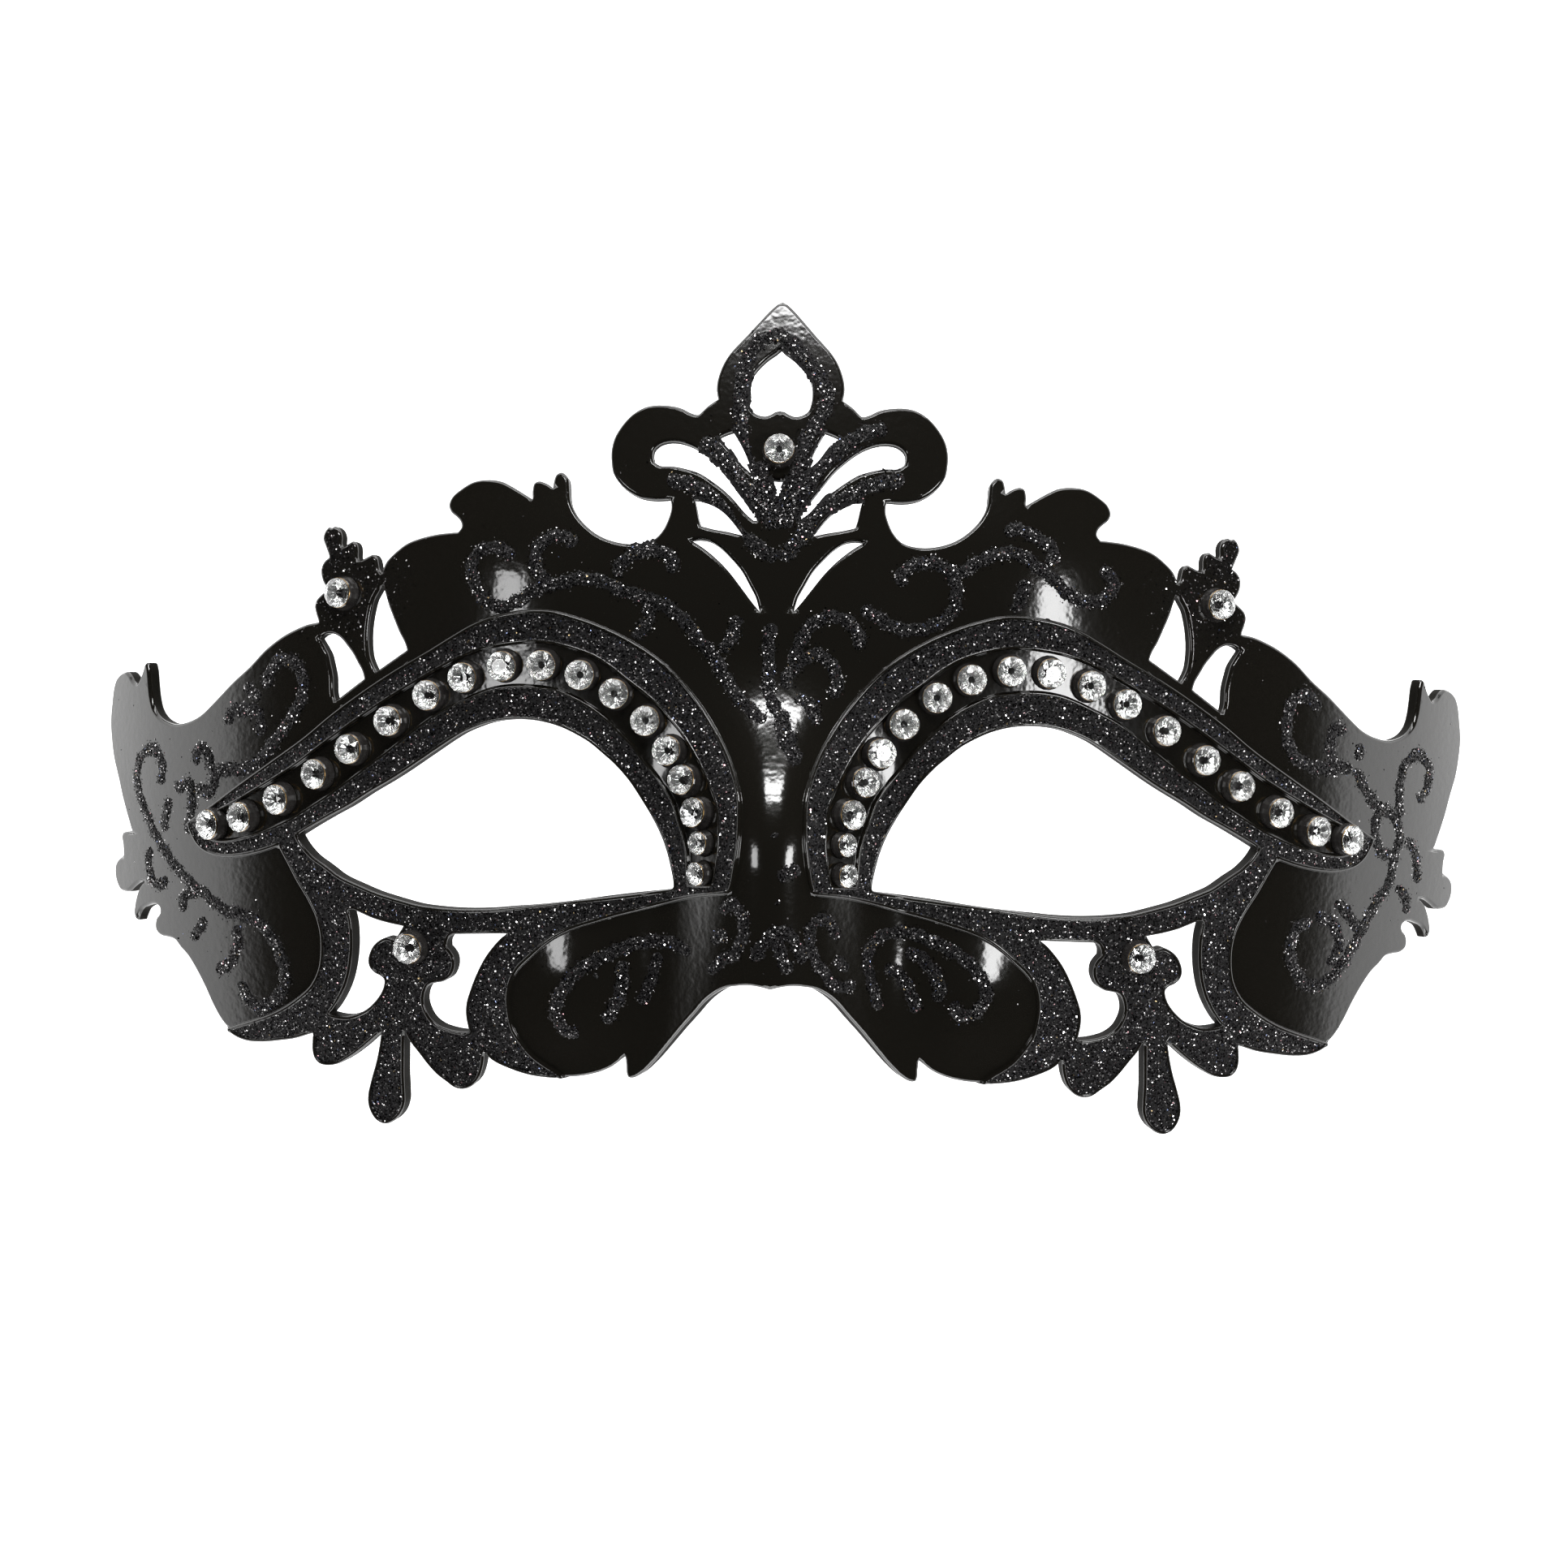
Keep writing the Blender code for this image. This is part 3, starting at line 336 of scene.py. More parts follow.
# The stone channel of the left eye, in the same columns.

CHANNEL = (
    ("start", ((0.709, -0.147),)),
    ("outer side", (
        (0.695, -0.1355), (0.670, -0.122), (0.631, -0.0985), (0.591, -0.073), (0.5515, -0.0425),
        (0.512, -0.013), (0.472, 0.0145), (0.4325, 0.039), (0.393, 0.0615), (0.358, 0.076), (0.323, 0.083),
        (0.298, 0.085), (0.273, 0.083), (0.248, 0.077), (0.223, 0.068), (0.203, 0.056), (0.1825, 0.040),
        (0.162, 0.025), (0.145, 0.0105), (0.129, -0.007), (0.114, -0.024), (0.099, -0.046), (0.086, -0.069),
        (0.076, -0.091), (0.068, -0.111), (0.0648, -0.131), (0.064, -0.151), (0.0648, -0.1735),
        (0.068, -0.1985), (0.071, -0.2130),
    )),
    ("lower end", ((0.102, -0.2130),)),
    ("inner side", (
        (0.1035, -0.189), (0.105, -0.169), (0.110, -0.149), (0.118, -0.1265), (0.123, -0.1115),
        (0.133, -0.0945), (0.146, -0.078), (0.161, -0.060), (0.1765, -0.040), (0.192, -0.025),
        (0.207, -0.010), (0.227, 0.0045), (0.247, 0.0155), (0.267, 0.0235), (0.292, 0.0275),
        (0.322, 0.0285), (0.347, 0.0245), (0.365, 0.018), (0.382, 0.010), (0.412, -0.0055), (0.432, -0.019),
        (0.4515, -0.035), (0.4715, -0.0515), (0.491, -0.0665), (0.511, -0.082), (0.531, -0.097),
        (0.5505, -0.1115), (0.5705, -0.1245), (0.590, -0.137), (0.610, -0.147), (0.630, -0.1555),
        (0.650, -0.162), (0.670, -0.166), (0.687, -0.1645), (0.700, -0.1555), (0.709, -0.147),
    )),
)

# Stones of the left half. Columns: out and up as above, width of the stone.

EYE_STONES = (
    (0.686, -0.1450, LARGE_STONE),
    (0.648, -0.1350, LARGE_STONE),
    (0.604, -0.1130, LARGE_STONE),
    (0.558, -0.0815, LARGE_STONE),
    (0.517, -0.0505, LARGE_STONE),
    (0.470, -0.0155, LARGE_STONE),
    (0.423, 0.0165, LARGE_STONE),
    (0.380, 0.0390, LARGE_STONE),
    (0.3325, 0.0540, LARGE_STONE),
    (0.285, 0.0560, LARGE_STONE),
    (0.2375, 0.0440, LARGE_STONE),
    (0.196, 0.0215, LARGE_STONE),
    (0.1565, -0.0115, LARGE_STONE),
    (0.1275, -0.0480, LARGE_STONE),
    (0.107, -0.0840, LARGE_STONE),
    (0.0905, -0.1240, LARGE_STONE),
    (0.085, -0.1605, SMALL_STONE),
    (0.0865, -0.1975, SMALL_STONE),
)
LEAF_STONE = (0.531, 0.1400, LARGE_STONE)
FLORET_STONE = (0.441, -0.2920, LARGE_STONE)
CREST_STONE = (0.000, 0.3210, LARGE_STONE)

# Glitter strokes. Columns: place, width as a share of the stroke width, strokes as runs of (across, up) in
# thousandths of the pattern, negative on the left.

STROKE_STEP = 0.00025
STROKES = (
    ("left brow", 1.0, (
        ((-323, 186), (-336, 196), (-358, 198), (-374, 182), (-371, 156), (-360, 137), (-341, 126),
         (-319, 132), (-300, 145), (-280, 154), (-268, 156)),
        ((-251, 200), (-256, 211), (-275, 213), (-294, 199), (-296, 177), (-287, 161), (-274, 151)),
        ((-274, 153), (-242, 162), (-210, 158), (-194, 149), (-162, 140), (-134, 128), (-110, 109),
         (-94, 87), (-75, 68), (-63, 46), (-46, 20), (-27, 2), (-11, -11)),
        ((-198, 165), (-189, 184), (-167, 196), (-141, 196), (-127, 182), (-134, 172)),
        ((-159, 134), (-156, 115), (-174, 89)),
        ((-48, 119), (-53, 97), (-66, 74)),
    )),
    ("forehead", 1.0, (
        ((-5, 110), (-9, 85), (-8, 60), (-7, 24), (5, -1), (15, -20), (22, -43), (32, -59)),
        ((100, 79), (102, 95), (87, 114), (64, 119), (43, 108), (27, 81), (21, 56)),
        ((70, 19), (76, 38), (69, 60), (49, 73), (18, 50), (12, 30)),
        ((54, -13), (41, 12), (25, 21)),
        ((12, 5), (9, -21), (20, -46), (32, -62)),
    )),
    ("right brow", 1.0, (
        ((154, 157), (153, 173), (169, 184), (194, 186), (213, 174), (220, 151), (214, 126), (192, 110),
         (166, 104), (141, 109), (119, 122), (103, 129)),
        ((220, 171), (245, 188), (270, 199), (295, 199), (317, 184), (337, 169), (356, 150), (377, 142),
         (399, 147), (410, 164), (402, 177), (392, 177)),
        ((276, 227), (295, 229), (316, 219), (336, 204), (333, 185)),
        ((303, 168), (299, 146), (290, 127)),
    )),
    ("left tab", 1.05, (
        ((-754, -98), (-752, -79), (-756, -62), (-765, -54), (-777, -61), (-783, -76), (-783, -97),
         (-776, -122), (-766, -146), (-758, -163), (-749, -177), (-739, -192), (-725, -209),
         (-710, -223), (-701, -229), (-675, -250), (-650, -257), (-631, -266), (-611, -291),
         (-601, -319), (-600, -345), (-616, -364), (-632, -371), (-655, -339)),
        ((-742, -114), (-747, -133), (-749, -156)),
        ((-737, -102), (-717, -98), (-715, -110), (-716, -131), (-720, -158)),
        ((-712, -100), (-694, -105), (-687, -92), (-691, -76), (-698, -57), (-704, -51), (-710, -60),
         (-710, -73)),
        ((-687, -78), (-668, -78), (-649, -76), (-633, -67), (-620, -50), (-607, -33), (-592, -10),
         (-581, 13), (-580, 30), (-585, 47), (-599, 58), (-612, 55), (-622, 39), (-627, 22)),
        ((-630, -36), (-632, -21), (-634, -9), (-650, -4), (-665, -6), (-671, -13), (-669, -23)),
        ((-634, 8), (-642, 18), (-651, 29)),
        ((-726, -254), (-723, -235), (-707, -226)),
        ((-698, -260), (-705, -275), (-713, -289)),
        ((-658, -269), (-658, -298), (-671, -320), (-684, -324)),
        ((-766, -175), (-768, -197), (-762, -216), (-752, -221), (-747, -210)),
    )),
    ("right tab", 1.05, (
        ((655, 14), (641, 30), (625, 25), (618, 0), (619, -28), (632, -49), (656, -58), (679, -58),
         (694, -58)),
        ((687, -13), (674, -10), (668, -31), (672, -52)),
        ((704, -27), (702, -38), (701, -48)),
        ((698, -58), (711, -86), (724, -104), (740, -114), (750, -136), (744, -167), (738, -199),
         (725, -220), (713, -244), (701, -269), (688, -294), (669, -319), (646, -326), (629, -305),
         (624, -280), (632, -256), (648, -245)),
        ((727, -107), (721, -132), (727, -157), (740, -167)),
        ((751, -118), (749, -86), (755, -54), (770, -40), (782, -54), (781, -78), (771, -99)),
        ((759, -142), (769, -166), (770, -198)),
        ((747, -202), (757, -215), (758, -236)),
        ((677, -221), (694, -241), (703, -258)),
        ((654, -238), (675, -252), (681, -277), (669, -301)),
    )),
    ("left cheek", 1.0, (
        ((-237, -399), (-256, -390), (-266, -368), (-256, -342), (-241, -322), (-216, -306),
         (-190, -293), (-165, -284), (-136, -281), (-114, -286), (-101, -298)),
        ((-184, -306), (-184, -332), (-189, -354), (-205, -383)),
        ((-139, -295), (-149, -331), (-161, -359)),
        ((-218, -326), (-216, -325), (-214, -324)),
    )),
    ("nose", 0.95, (
        ((-64, -244), (-48, -234), (-35, -250), (-34, -272), (-44, -295), (-60, -304), (-76, -320)),
        ((-73, -282), (-64, -275), (-54, -269)),
        ((2, -147), (3, -149), (4, -152)),
        ((8, -200), (22, -196), (35, -188)),
        ((8, -230), (9, -231), (10, -233)),
        ((10, -262), (-9, -284), (-22, -303)),
        ((10, -262), (10, -284), (23, -319)),
        ((10, -262), (29, -278), (40, -306)),
        ((80, -277), (73, -258), (57, -253), (48, -270), (52, -296), (64, -315), (80, -334), (103, -331)),
        ((80, -296), (86, -306), (93, -315)),
    )),
    ("right cheek", 1.0, (
        ((132, -362), (122, -327), (117, -295), (131, -273), (162, -266), (197, -278), (229, -294),
         (252, -316), (262, -342), (249, -364), (230, -367), (221, -351)),
        ((163, -288), (186, -301), (205, -332), (202, -351)),
        ((138, -308), (157, -320), (173, -349), (175, -365)),
    )),
    ("crest", 1.15, (
        ((2, 226), (-13, 257), (-30, 300), (-46, 348), (-49, 387), (-44, 427), (-26, 456), (2, 462),
         (26, 440), (48, 414), (58, 389), (49, 362), (33, 337), (25, 306), (13, 269), (6, 230)),
        ((-95, 335), (-70, 314), (-45, 283), (-27, 260), (-7, 238)),
        ((131, 351), (101, 343), (74, 322), (47, 294), (25, 263), (5, 232)),
        ((-137, 285), (-103, 277), (-69, 256), (-44, 225), (-26, 205), (-1, 189)),
        ((154, 289), (120, 283), (90, 270), (57, 252), (32, 223), (20, 205), (2, 189)),
    )),
    ("crest fill", 1.5, (
        ((-21, 309), (-21, 285), (-17, 262), (-8, 240), (1, 230)),
        ((25, 309), (23, 285), (18, 262), (9, 240), (1, 230)),
        ((-10, 252), (0, 248), (11, 252)),
    )),
)

# Stray flakes on the plates, and thinly strewn spots on the leaf sprigs, as shares of a full bed.
# Columns of the spots: out and up as above, reach, share.
STRAY_SHARE = 0.0016
STREWN_SPOTS = (
    (0.528, 0.150, 0.0070, 0.16),
    (0.549, 0.200, 0.0036, 0.45),
    (0.508, 0.140, 0.0036, 0.30),
)

# Tones of the flakes. Columns: from this chance on, colour.
FLAKE_TONES = (
    (0.00, (0.006, 0.0055, 0.006)),
    (0.45, (0.016, 0.015, 0.015)),
    (0.70, (0.065, 0.062, 0.063)),
    (0.86, (0.300, 0.290, 0.290)),
    (0.94, (0.950, 0.930, 0.930)),
    (0.978, (0.400, 0.240, 0.260)),
    (0.986, (0.150, 0.180, 0.300)),
    (0.994, (0.320, 0.240, 0.130)),
)

# The camera. The picture's width is measured at the nose ridge.
PICTURE_WIDTH = 0.2003
PICTURE_MIDDLE = (0.00074, -0.0090, 0.030)
CAMERA_YAW = math.radians(1.6)
CAMERA_ROLL = math.radians(0.774)

# Softboxes, aimed at the nose. Columns: name, distance, bearing from the crest's direction and lean from straight
# up in degrees, width and height, radiance.
NOSE_MIDDLE = (0.0, -0.0115, 0.055)
SOFTBOXES = (
    ("softbox_left", 1.2, -88, 37, (0.32, 0.22), 11.0),
    ("softbox_right", 1.2, 92, 37, (0.40, 0.24), 21.0),
    ("softbox_nose", 2.2, 0, 41.0, (0.90, 0.20), 34.0),
    ("softbox_crest_side", 1.2, 0, 73, (1.50, 0.34), 8.0),
    ("softbox_cheek_side", 1.2, 180, 80, (1.40, 0.34), 7.0),
)

# The studio's walls. Columns: sine of the height above the horizon, brightness.
WALL_GLOW = ((0.00, 2.4), (0.02, 1.7), (0.06, 0.70), (0.12, 0.15), (0.20, 0.02))


# Curves.


def smooth_run(points):
    """Centripetal curve through the points, in plan metres."""
    if len(points) < 3:
        return list(points)
    padded = [2 * points[0] - points[1], *points, 2 * points[-1] - points[-2]]
    line = [points[0]]
    for a, b, c, d in zip(padded, padded[1:], padded[2:], padded[3:]):
        t0 = 0.0
        t1 = t0 + math.sqrt(np.linalg.norm(b - a))
        t2 = t1 + math.sqrt(np.linalg.norm(c - b))
        t3 = t2 + math.sqrt(np.linalg.norm(d - c))
        for step in range(1, CURVE_STEPS + 1):
            t = t1 + (t2 - t1) * step / CURVE_STEPS
            ab = a * (t1 - t) / (t1 - t0) + b * (t - t0) / (t1 - t0)
            bc = b * (t2 - t) / (t2 - t1) + c * (t - t1) / (t2 - t1)
            cd = c * (t3 - t) / (t3 - t2) + d * (t - t2) / (t3 - t2)
            abc = ab * (t2 - t) / (t2 - t0) + bc * (t - t0) / (t2 - t0)
            bcd = bc * (t3 - t) / (t3 - t1) + cd * (t - t1) / (t3 - t1)
            line.append(abc * (t2 - t) / (t2 - t1) + bcd * (t - t1) / (t2 - t1))
    return line


def needed_points(line, tolerance):
    """Drops the points that lie within the tolerance of a straight edge."""
    if len(line) < 3:
        return list(line)
    start, end = line[0], line[-1]
    along = end - start
    length = np.linalg.norm(along)
    inner = np.array(line[1:-1]) - start
    if length > 1e-9:
        away = np.abs(along[0] * inner[:, 1] - along[1] * inner[:, 0]) / length
    else:
        away = np.linalg.norm(inner, axis=1)
    worst = int(np.argmax(away)) + 1
    if away[worst - 1] <= tolerance:
        return [start, end]
    return needed_points(line[: worst + 1], tolerance)[:-1] + needed_points(line[worst:], tolerance)


def even_steps(line, step):
    """The line again, in equal steps close to the given one."""
    line = np.array(line)
    run = np.concatenate(([0.0], np.cumsum(np.linalg.norm(np.diff(line, axis=0), axis=1))))
    marks = np.linspace(0.0, run[-1], max(2, round(run[-1] / step) + 1))
    return np.stack([np.interp(marks, run, line[:, axis]) for axis in (0, 1)], axis=1)


def plan(out, up):
    """A pattern point in plan metres. Out is negative on the left half."""
    return np.array((PATTERN_WIDTH * (out + TEMPLE_SPREAD * out**3), PATTERN_HEIGHT * up))


def closed_line(runs):
    """The closed polyline of a list of runs, without its first point again at the end."""
    before = plan(*runs[-1][1][-1])
    line = []
    for _name, shares in runs:
        points = [before] + [plan(*share) for share in shares]
        if np.linalg.norm(points[0] - points[1]) < 1e-9:
            points = points[1:]
        if len(points) > 1:
            kept = needed_points(smooth_run(points), CURVE_TOLERANCE)
            for a, b in zip(kept, kept[1:]):
                parts = max(1, math.ceil(np.linalg.norm(b - a) / LONGEST_EDGE))
                line += [a + (b - a) * part / parts for part in range(1, parts + 1)]
        before = points[-1]
    return np.array(line)


def inside(line, points):
    """Which points lie inside a closed polyline."""
    x, y = points[:, 0], points[:, 1]
    hit = np.zeros(len(points), dtype=bool)
    for (ax, ay), (bx, by) in zip(line, np.roll(line, -1, axis=0)):
        if ay == by:
            continue
        crosses = (ay > y) != (by > y)
        hit ^= crosses & (x < ax + (y - ay) / (by - ay) * (bx - ax))
    return hit


def on_face(loops, points):
    """Which points lie on the open face that the loops bound."""
    hit = np.zeros(len(points), dtype=bool)
    for loop in loops:
        hit ^= inside(loop, points)
    return hit


# Form of the face.


def ease(value):
    value = np.clip(value, 0.0, 1.0)
    return value * value * (3 - 2 * value)


def form(points):
    """Height of the smooth face over the plan, the highest point of the wrap at zero."""
    x, y = np.abs(points[:, 0]), points[:, 1]
    share = np.clip(x / WRAP_HALF_WIDTH, 0.0, 0.985)
    height = -WRAP_DEPTH * (1 - np.sqrt(1 - share**2))
    height -= (y - PROFILE_MIDDLE) ** 2 / (2 * PROFILE_RADIUS)
    rise = ease((NOSE_TOP - y) / (NOSE_TOP - NOSE_FULL))
    flare = ease((NOSE_FULL - y) / (NOSE_FULL - NOSE_FOOT))
    half = NOSE_HALF_WIDTH + NOSE_FLARE * flare
    height += NOSE_RISE * rise * 0.5 * (1 + np.cos(math.pi * np.clip(x / half, 0.0, 1.0)))
    for (out, up), swell, radius in (
        ((0.250, -0.345), CHEEK_SWELL, CHEEK_RADIUS),
        ((0.330, 0.185), BROW_SWELL, BROW_RADIUS),
    ):
        middle = plan(out, up)
        away = np.hypot(x - middle[0], y - middle[1])
        height += swell * 0.5 * (1 + np.cos(math.pi * np.clip(away / radius, 0.0, 1.0)))
    return height


def slopes(points):
    """Slope of the smooth face to the right and upwards."""
    step = 1e-5
    across = np.array((step, 0.0))
    upward = np.array((0.0, step))
    slope_x = (form(points + across) - form(points - across)) / (2 * step)
    slope_y = (form(points + upward) - form(points - upward)) / (2 * step)
    return slope_x, slope_y


def normals(points):
    """Outward normals of the smooth face."""
    slope_x, slope_y = slopes(points)
    result = np.stack((-slope_x, -slope_y, np.ones(len(points))), axis=1)
    return result / np.linalg.norm(result, axis=1, keepdims=True)


def stretch(points, ways):
    """How much longer a step along the plan direction is on the face."""
    slope_x, slope_y = slopes(points)
    return np.sqrt(1 + (slope_x * ways[:, 0] + slope_y * ways[:, 1]) ** 2)


def placed(points, level, lift):
    """Points of the plan in space, at a level above the smooth face."""
    return np.column_stack((points, form(points) + lift)) + normals(points) * level[:, None]


def face_lift():
    """Height of the wrap's highest point above the floor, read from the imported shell."""
    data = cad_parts["mask_shell"].data
    places = np.zeros(len(data.vertices) * 3)
    data.vertices.foreach_get("co", places)
    places = places.reshape(-1, 3)
    top = places[np.argmax(places[:, 2])]
    return top[2] - form(top[None, :2])[0]


# Distances from the moulded lines.


class Border:
    """A set of closed lines whose sides point towards the face or into the area that they bound."""

    def __init__(self, lines, holds):
        """Holds tells which points are on the wanted side."""
        self.lines, self.sides, self.joints = [], [], []
        for line in lines:
            before = line - np.roll(line, 1, axis=0)
            after = np.roll(line, -1, axis=0) - line
            before /= np.linalg.norm(before, axis=1, keepdims=True)
            after /= np.linalg.norm(after, axis=1, keepdims=True)
            side = np.stack((-before[:, 1] - after[:, 1], before[:, 0] + after[:, 0]), axis=1)
            side /= np.maximum(np.linalg.norm(side, axis=1, keepdims=True), 1e-9)
            turn = before[:, 0] * after[:, 1] - before[:, 1] * after[:, 0]
            middle = (line + np.roll(line, -1, axis=0)) / 2
            probe = middle + np.stack((-after[:, 1], after[:, 0]), axis=1) * 2e-5
            facing = 1.0 if holds(probe).mean() > 0.5 else -1.0
            half = np.sqrt(np.maximum((1 + (before * after).sum(axis=1)) / 2, 0.04))
            self.lines.append(line)
            self.sides.append(side * facing)
            self.joints.append(np.where(turn * facing > 0, 1 / half, 1.0))

    def measure(self, points):
        """Distance in the plan and the unit direction away from the nearest line."""
        best = np.full(len(points), np.inf)
        spot = np.zeros_like(points)
        lean = np.zeros_like(points)
        for line, side in zip(self.lines, self.sides):
            ends = np.roll(line, -1, axis=0)
            end_sides = np.roll(side, -1, axis=0)
            for a, b, na, nb in zip(line, ends, side, end_sides):
                if abs(a[0]) < 1e-7 and abs(b[0]) < 1e-7:
                    continue
                along = b - a
                share = np.clip(((points - a) @ along) / (along @ along), 0.0, 1.0)
                near = a + share[:, None] * along
                away = np.hypot(points[:, 0] - near[:, 0], points[:, 1] - near[:, 1])
                closer = away < best
                if closer.any():
                    best[closer] = away[closer]
                    spot[closer] = near[closer]
                    lean[closer] = (na + share[:, None] * (nb - na))[closer]
        way = points - spot
        length = np.linalg.norm(way, axis=1)
        clear = length > 3e-6
        way[clear] /= length[clear, None]
        lean /= np.maximum(np.linalg.norm(lean, axis=1, keepdims=True), 1e-9)
        way[~clear] = lean[~clear]
        return best, way

    def rows(self, distance):
        """The lines moved sideways by a distance along the surface, and the plan distance that this is."""
        result = []
        for line, side, joint in zip(self.lines, self.sides, self.joints):
            sideways = distance / stretch(line, side)
            factor = joint if distance > 0 else 1.0
            real = (np.abs(line[:, 0]) > 1e-7) & (np.abs(np.roll(line, 1, axis=0)[:, 0]) > 1e-7)
            real &= np.abs(np.roll(line, -1, axis=0)[:, 0]) > 1e-7
            moved = line + side * (sideways * factor)[:, None]
            result.append((moved, np.abs(sideways), real))
        return result


def half_round(away, radius):
    return np.sqrt(np.maximum(radius**2 - away**2, 0.0))


def border_profile(away):
    """Level across a bead that parts a smooth plate (negative) from a glitter bed (positive)."""
    foot = (RIDGE_TOP - BEAD_RADIUS) * ease((away + BEAD_RADIUS * 1.2) / (BEAD_RADIUS * 0.2))
    bead = foot + half_round(away, BEAD_RADIUS)
    return np.where(away > 0, np.maximum(bead, BED_LEVEL), bead)


def channel_profile(away):
    """Level across the bead of the stone channel, above the glitter bed. Positive is inside the channel."""
    base = RIDGE_TOP - BED_LEVEL - CORD_RADIUS
    bead = base + half_round(away, CORD_RADIUS)
    depth = RING_RISE - CHANNEL_SINK - BED_LEVEL
    inner = bead + (depth - base) * ease((away - CORD_RADIUS) / (CORD_RADIUS * 0.3))
    return np.where(away > 0, inner, np.maximum(bead, 0.0))


def rim_profile(away, in_bed):
    """Level across the rim of the face: a lip along a glitter bed, elsewhere a rounded edge."""
    lip_base = RIDGE_TOP - BED_LEVEL - LIP_RADIUS
    lip = lip_base + half_round(away - LIP_RADIUS, LIP_RADIUS)
    lip = np.where(away > LIP_RADIUS, np.maximum(lip, 0.0), lip)
    plain = half_round(np.maximum(EDGE_RADIUS - away, 0.0), EDGE_RADIUS) - EDGE_RADIUS
    return plain + (lip - plain) * in_bed


def gradient(profile, away, *more):
    step = 4e-6
    return (profile(away + step, *more) - profile(away - step, *more)) / (2 * step)


def bent(points, pushes):
    """Normals of the face once a level with the given plan gradient is added to it."""
    slope_x, slope_y = slopes(points)
    area = 1 + slope_x**2 + slope_y**2
    push_x, push_y = pushes[:, 0], pushes[:, 1]
    along_x = ((1 + slope_y**2) * push_x - slope_x * slope_y * push_y) / area
    along_y = ((1 + slope_x**2) * push_y - slope_x * slope_y * push_x) / area
    rise = slope_x * along_x + slope_y * along_y
    result = normals(points) - np.stack((along_x, along_y, rise), axis=1)
    return result / np.linalg.norm(result, axis=1, keepdims=True)


# Shell.


def grid_points(loops, pitch, clear):
    """An even grid over the open face, clear of the given borders."""
    rows = []
    row_pitch = pitch * math.sqrt(0.75)
    for row in range(math.ceil(1.4 * PATTERN_HEIGHT / row_pitch)):
        y = -0.7 * PATTERN_HEIGHT + row * row_pitch
        start = 0.5 * pitch * (1 + row % 2)
        rows += [(x, y) for x in np.arange(start, WRAP_HALF_WIDTH, pitch)]
    points = np.array(rows)
    points = points[on_face(loops, points)]
    for border in clear:
        points = points[border.measure(points)[0] > 0.4 * pitch]
    return points


def row_points(loops, border, rim, distances):
    """Points on rows along a border that are truly at their distance and stay on the face."""
    kept = []
    for distance in distances:
        for moved, sideways, real in border.rows(distance):
            moved, sideways = moved[real], sideways[real]
            away = border.measure(moved)[0]
            good = np.abs(away - sideways) < 0.05 * sideways + 2e-6
            good &= on_face(loops, moved)
            if border is not rim:
                good &= rim.measure(moved)[0] > 3e-5
            kept.append(moved[good])
    return np.concatenate(kept)


def triangulate(loops, points):
    """Triangles of the open face, with the loops as edges."""
    coords, edges = [], []
    for line in loops:
        first, count = len(coords), len(line)
        coords += [tuple(point) for point in line]
        edges += [(first + i, first + (i + 1) % count) for i in range(count)]
    coords += [tuple(point) for point in points]
    verts, _edges, faces, *_rest = delaunay_2d_cdt(coords, edges, [], 0, 1e-7)
    verts = np.array([tuple(vert) for vert in verts])
    faces = np.array([tuple(face) for face in faces])
    faces = faces[on_face(loops, verts[faces].mean(axis=1))]
    used, places = np.unique(faces, return_inverse=True)
    return verts[used], places.reshape(-1, 3)


def rim_loops(faces):
    """The directed edges that only one triangle has, chained to closed loops."""
    sides = {(face[i], face[(i + 1) % 3]) for face in faces.tolist() for i in range(3)}
    follow = {a: b for a, b in sorted(sides) if (b, a) not in sides}
    loops = []
    while follow:
        start, step = follow.popitem()
        loop = [start]
        while step != start:
            loop.append(step)
            step = follow.pop(step)
        loops.append(loop)
    return loops


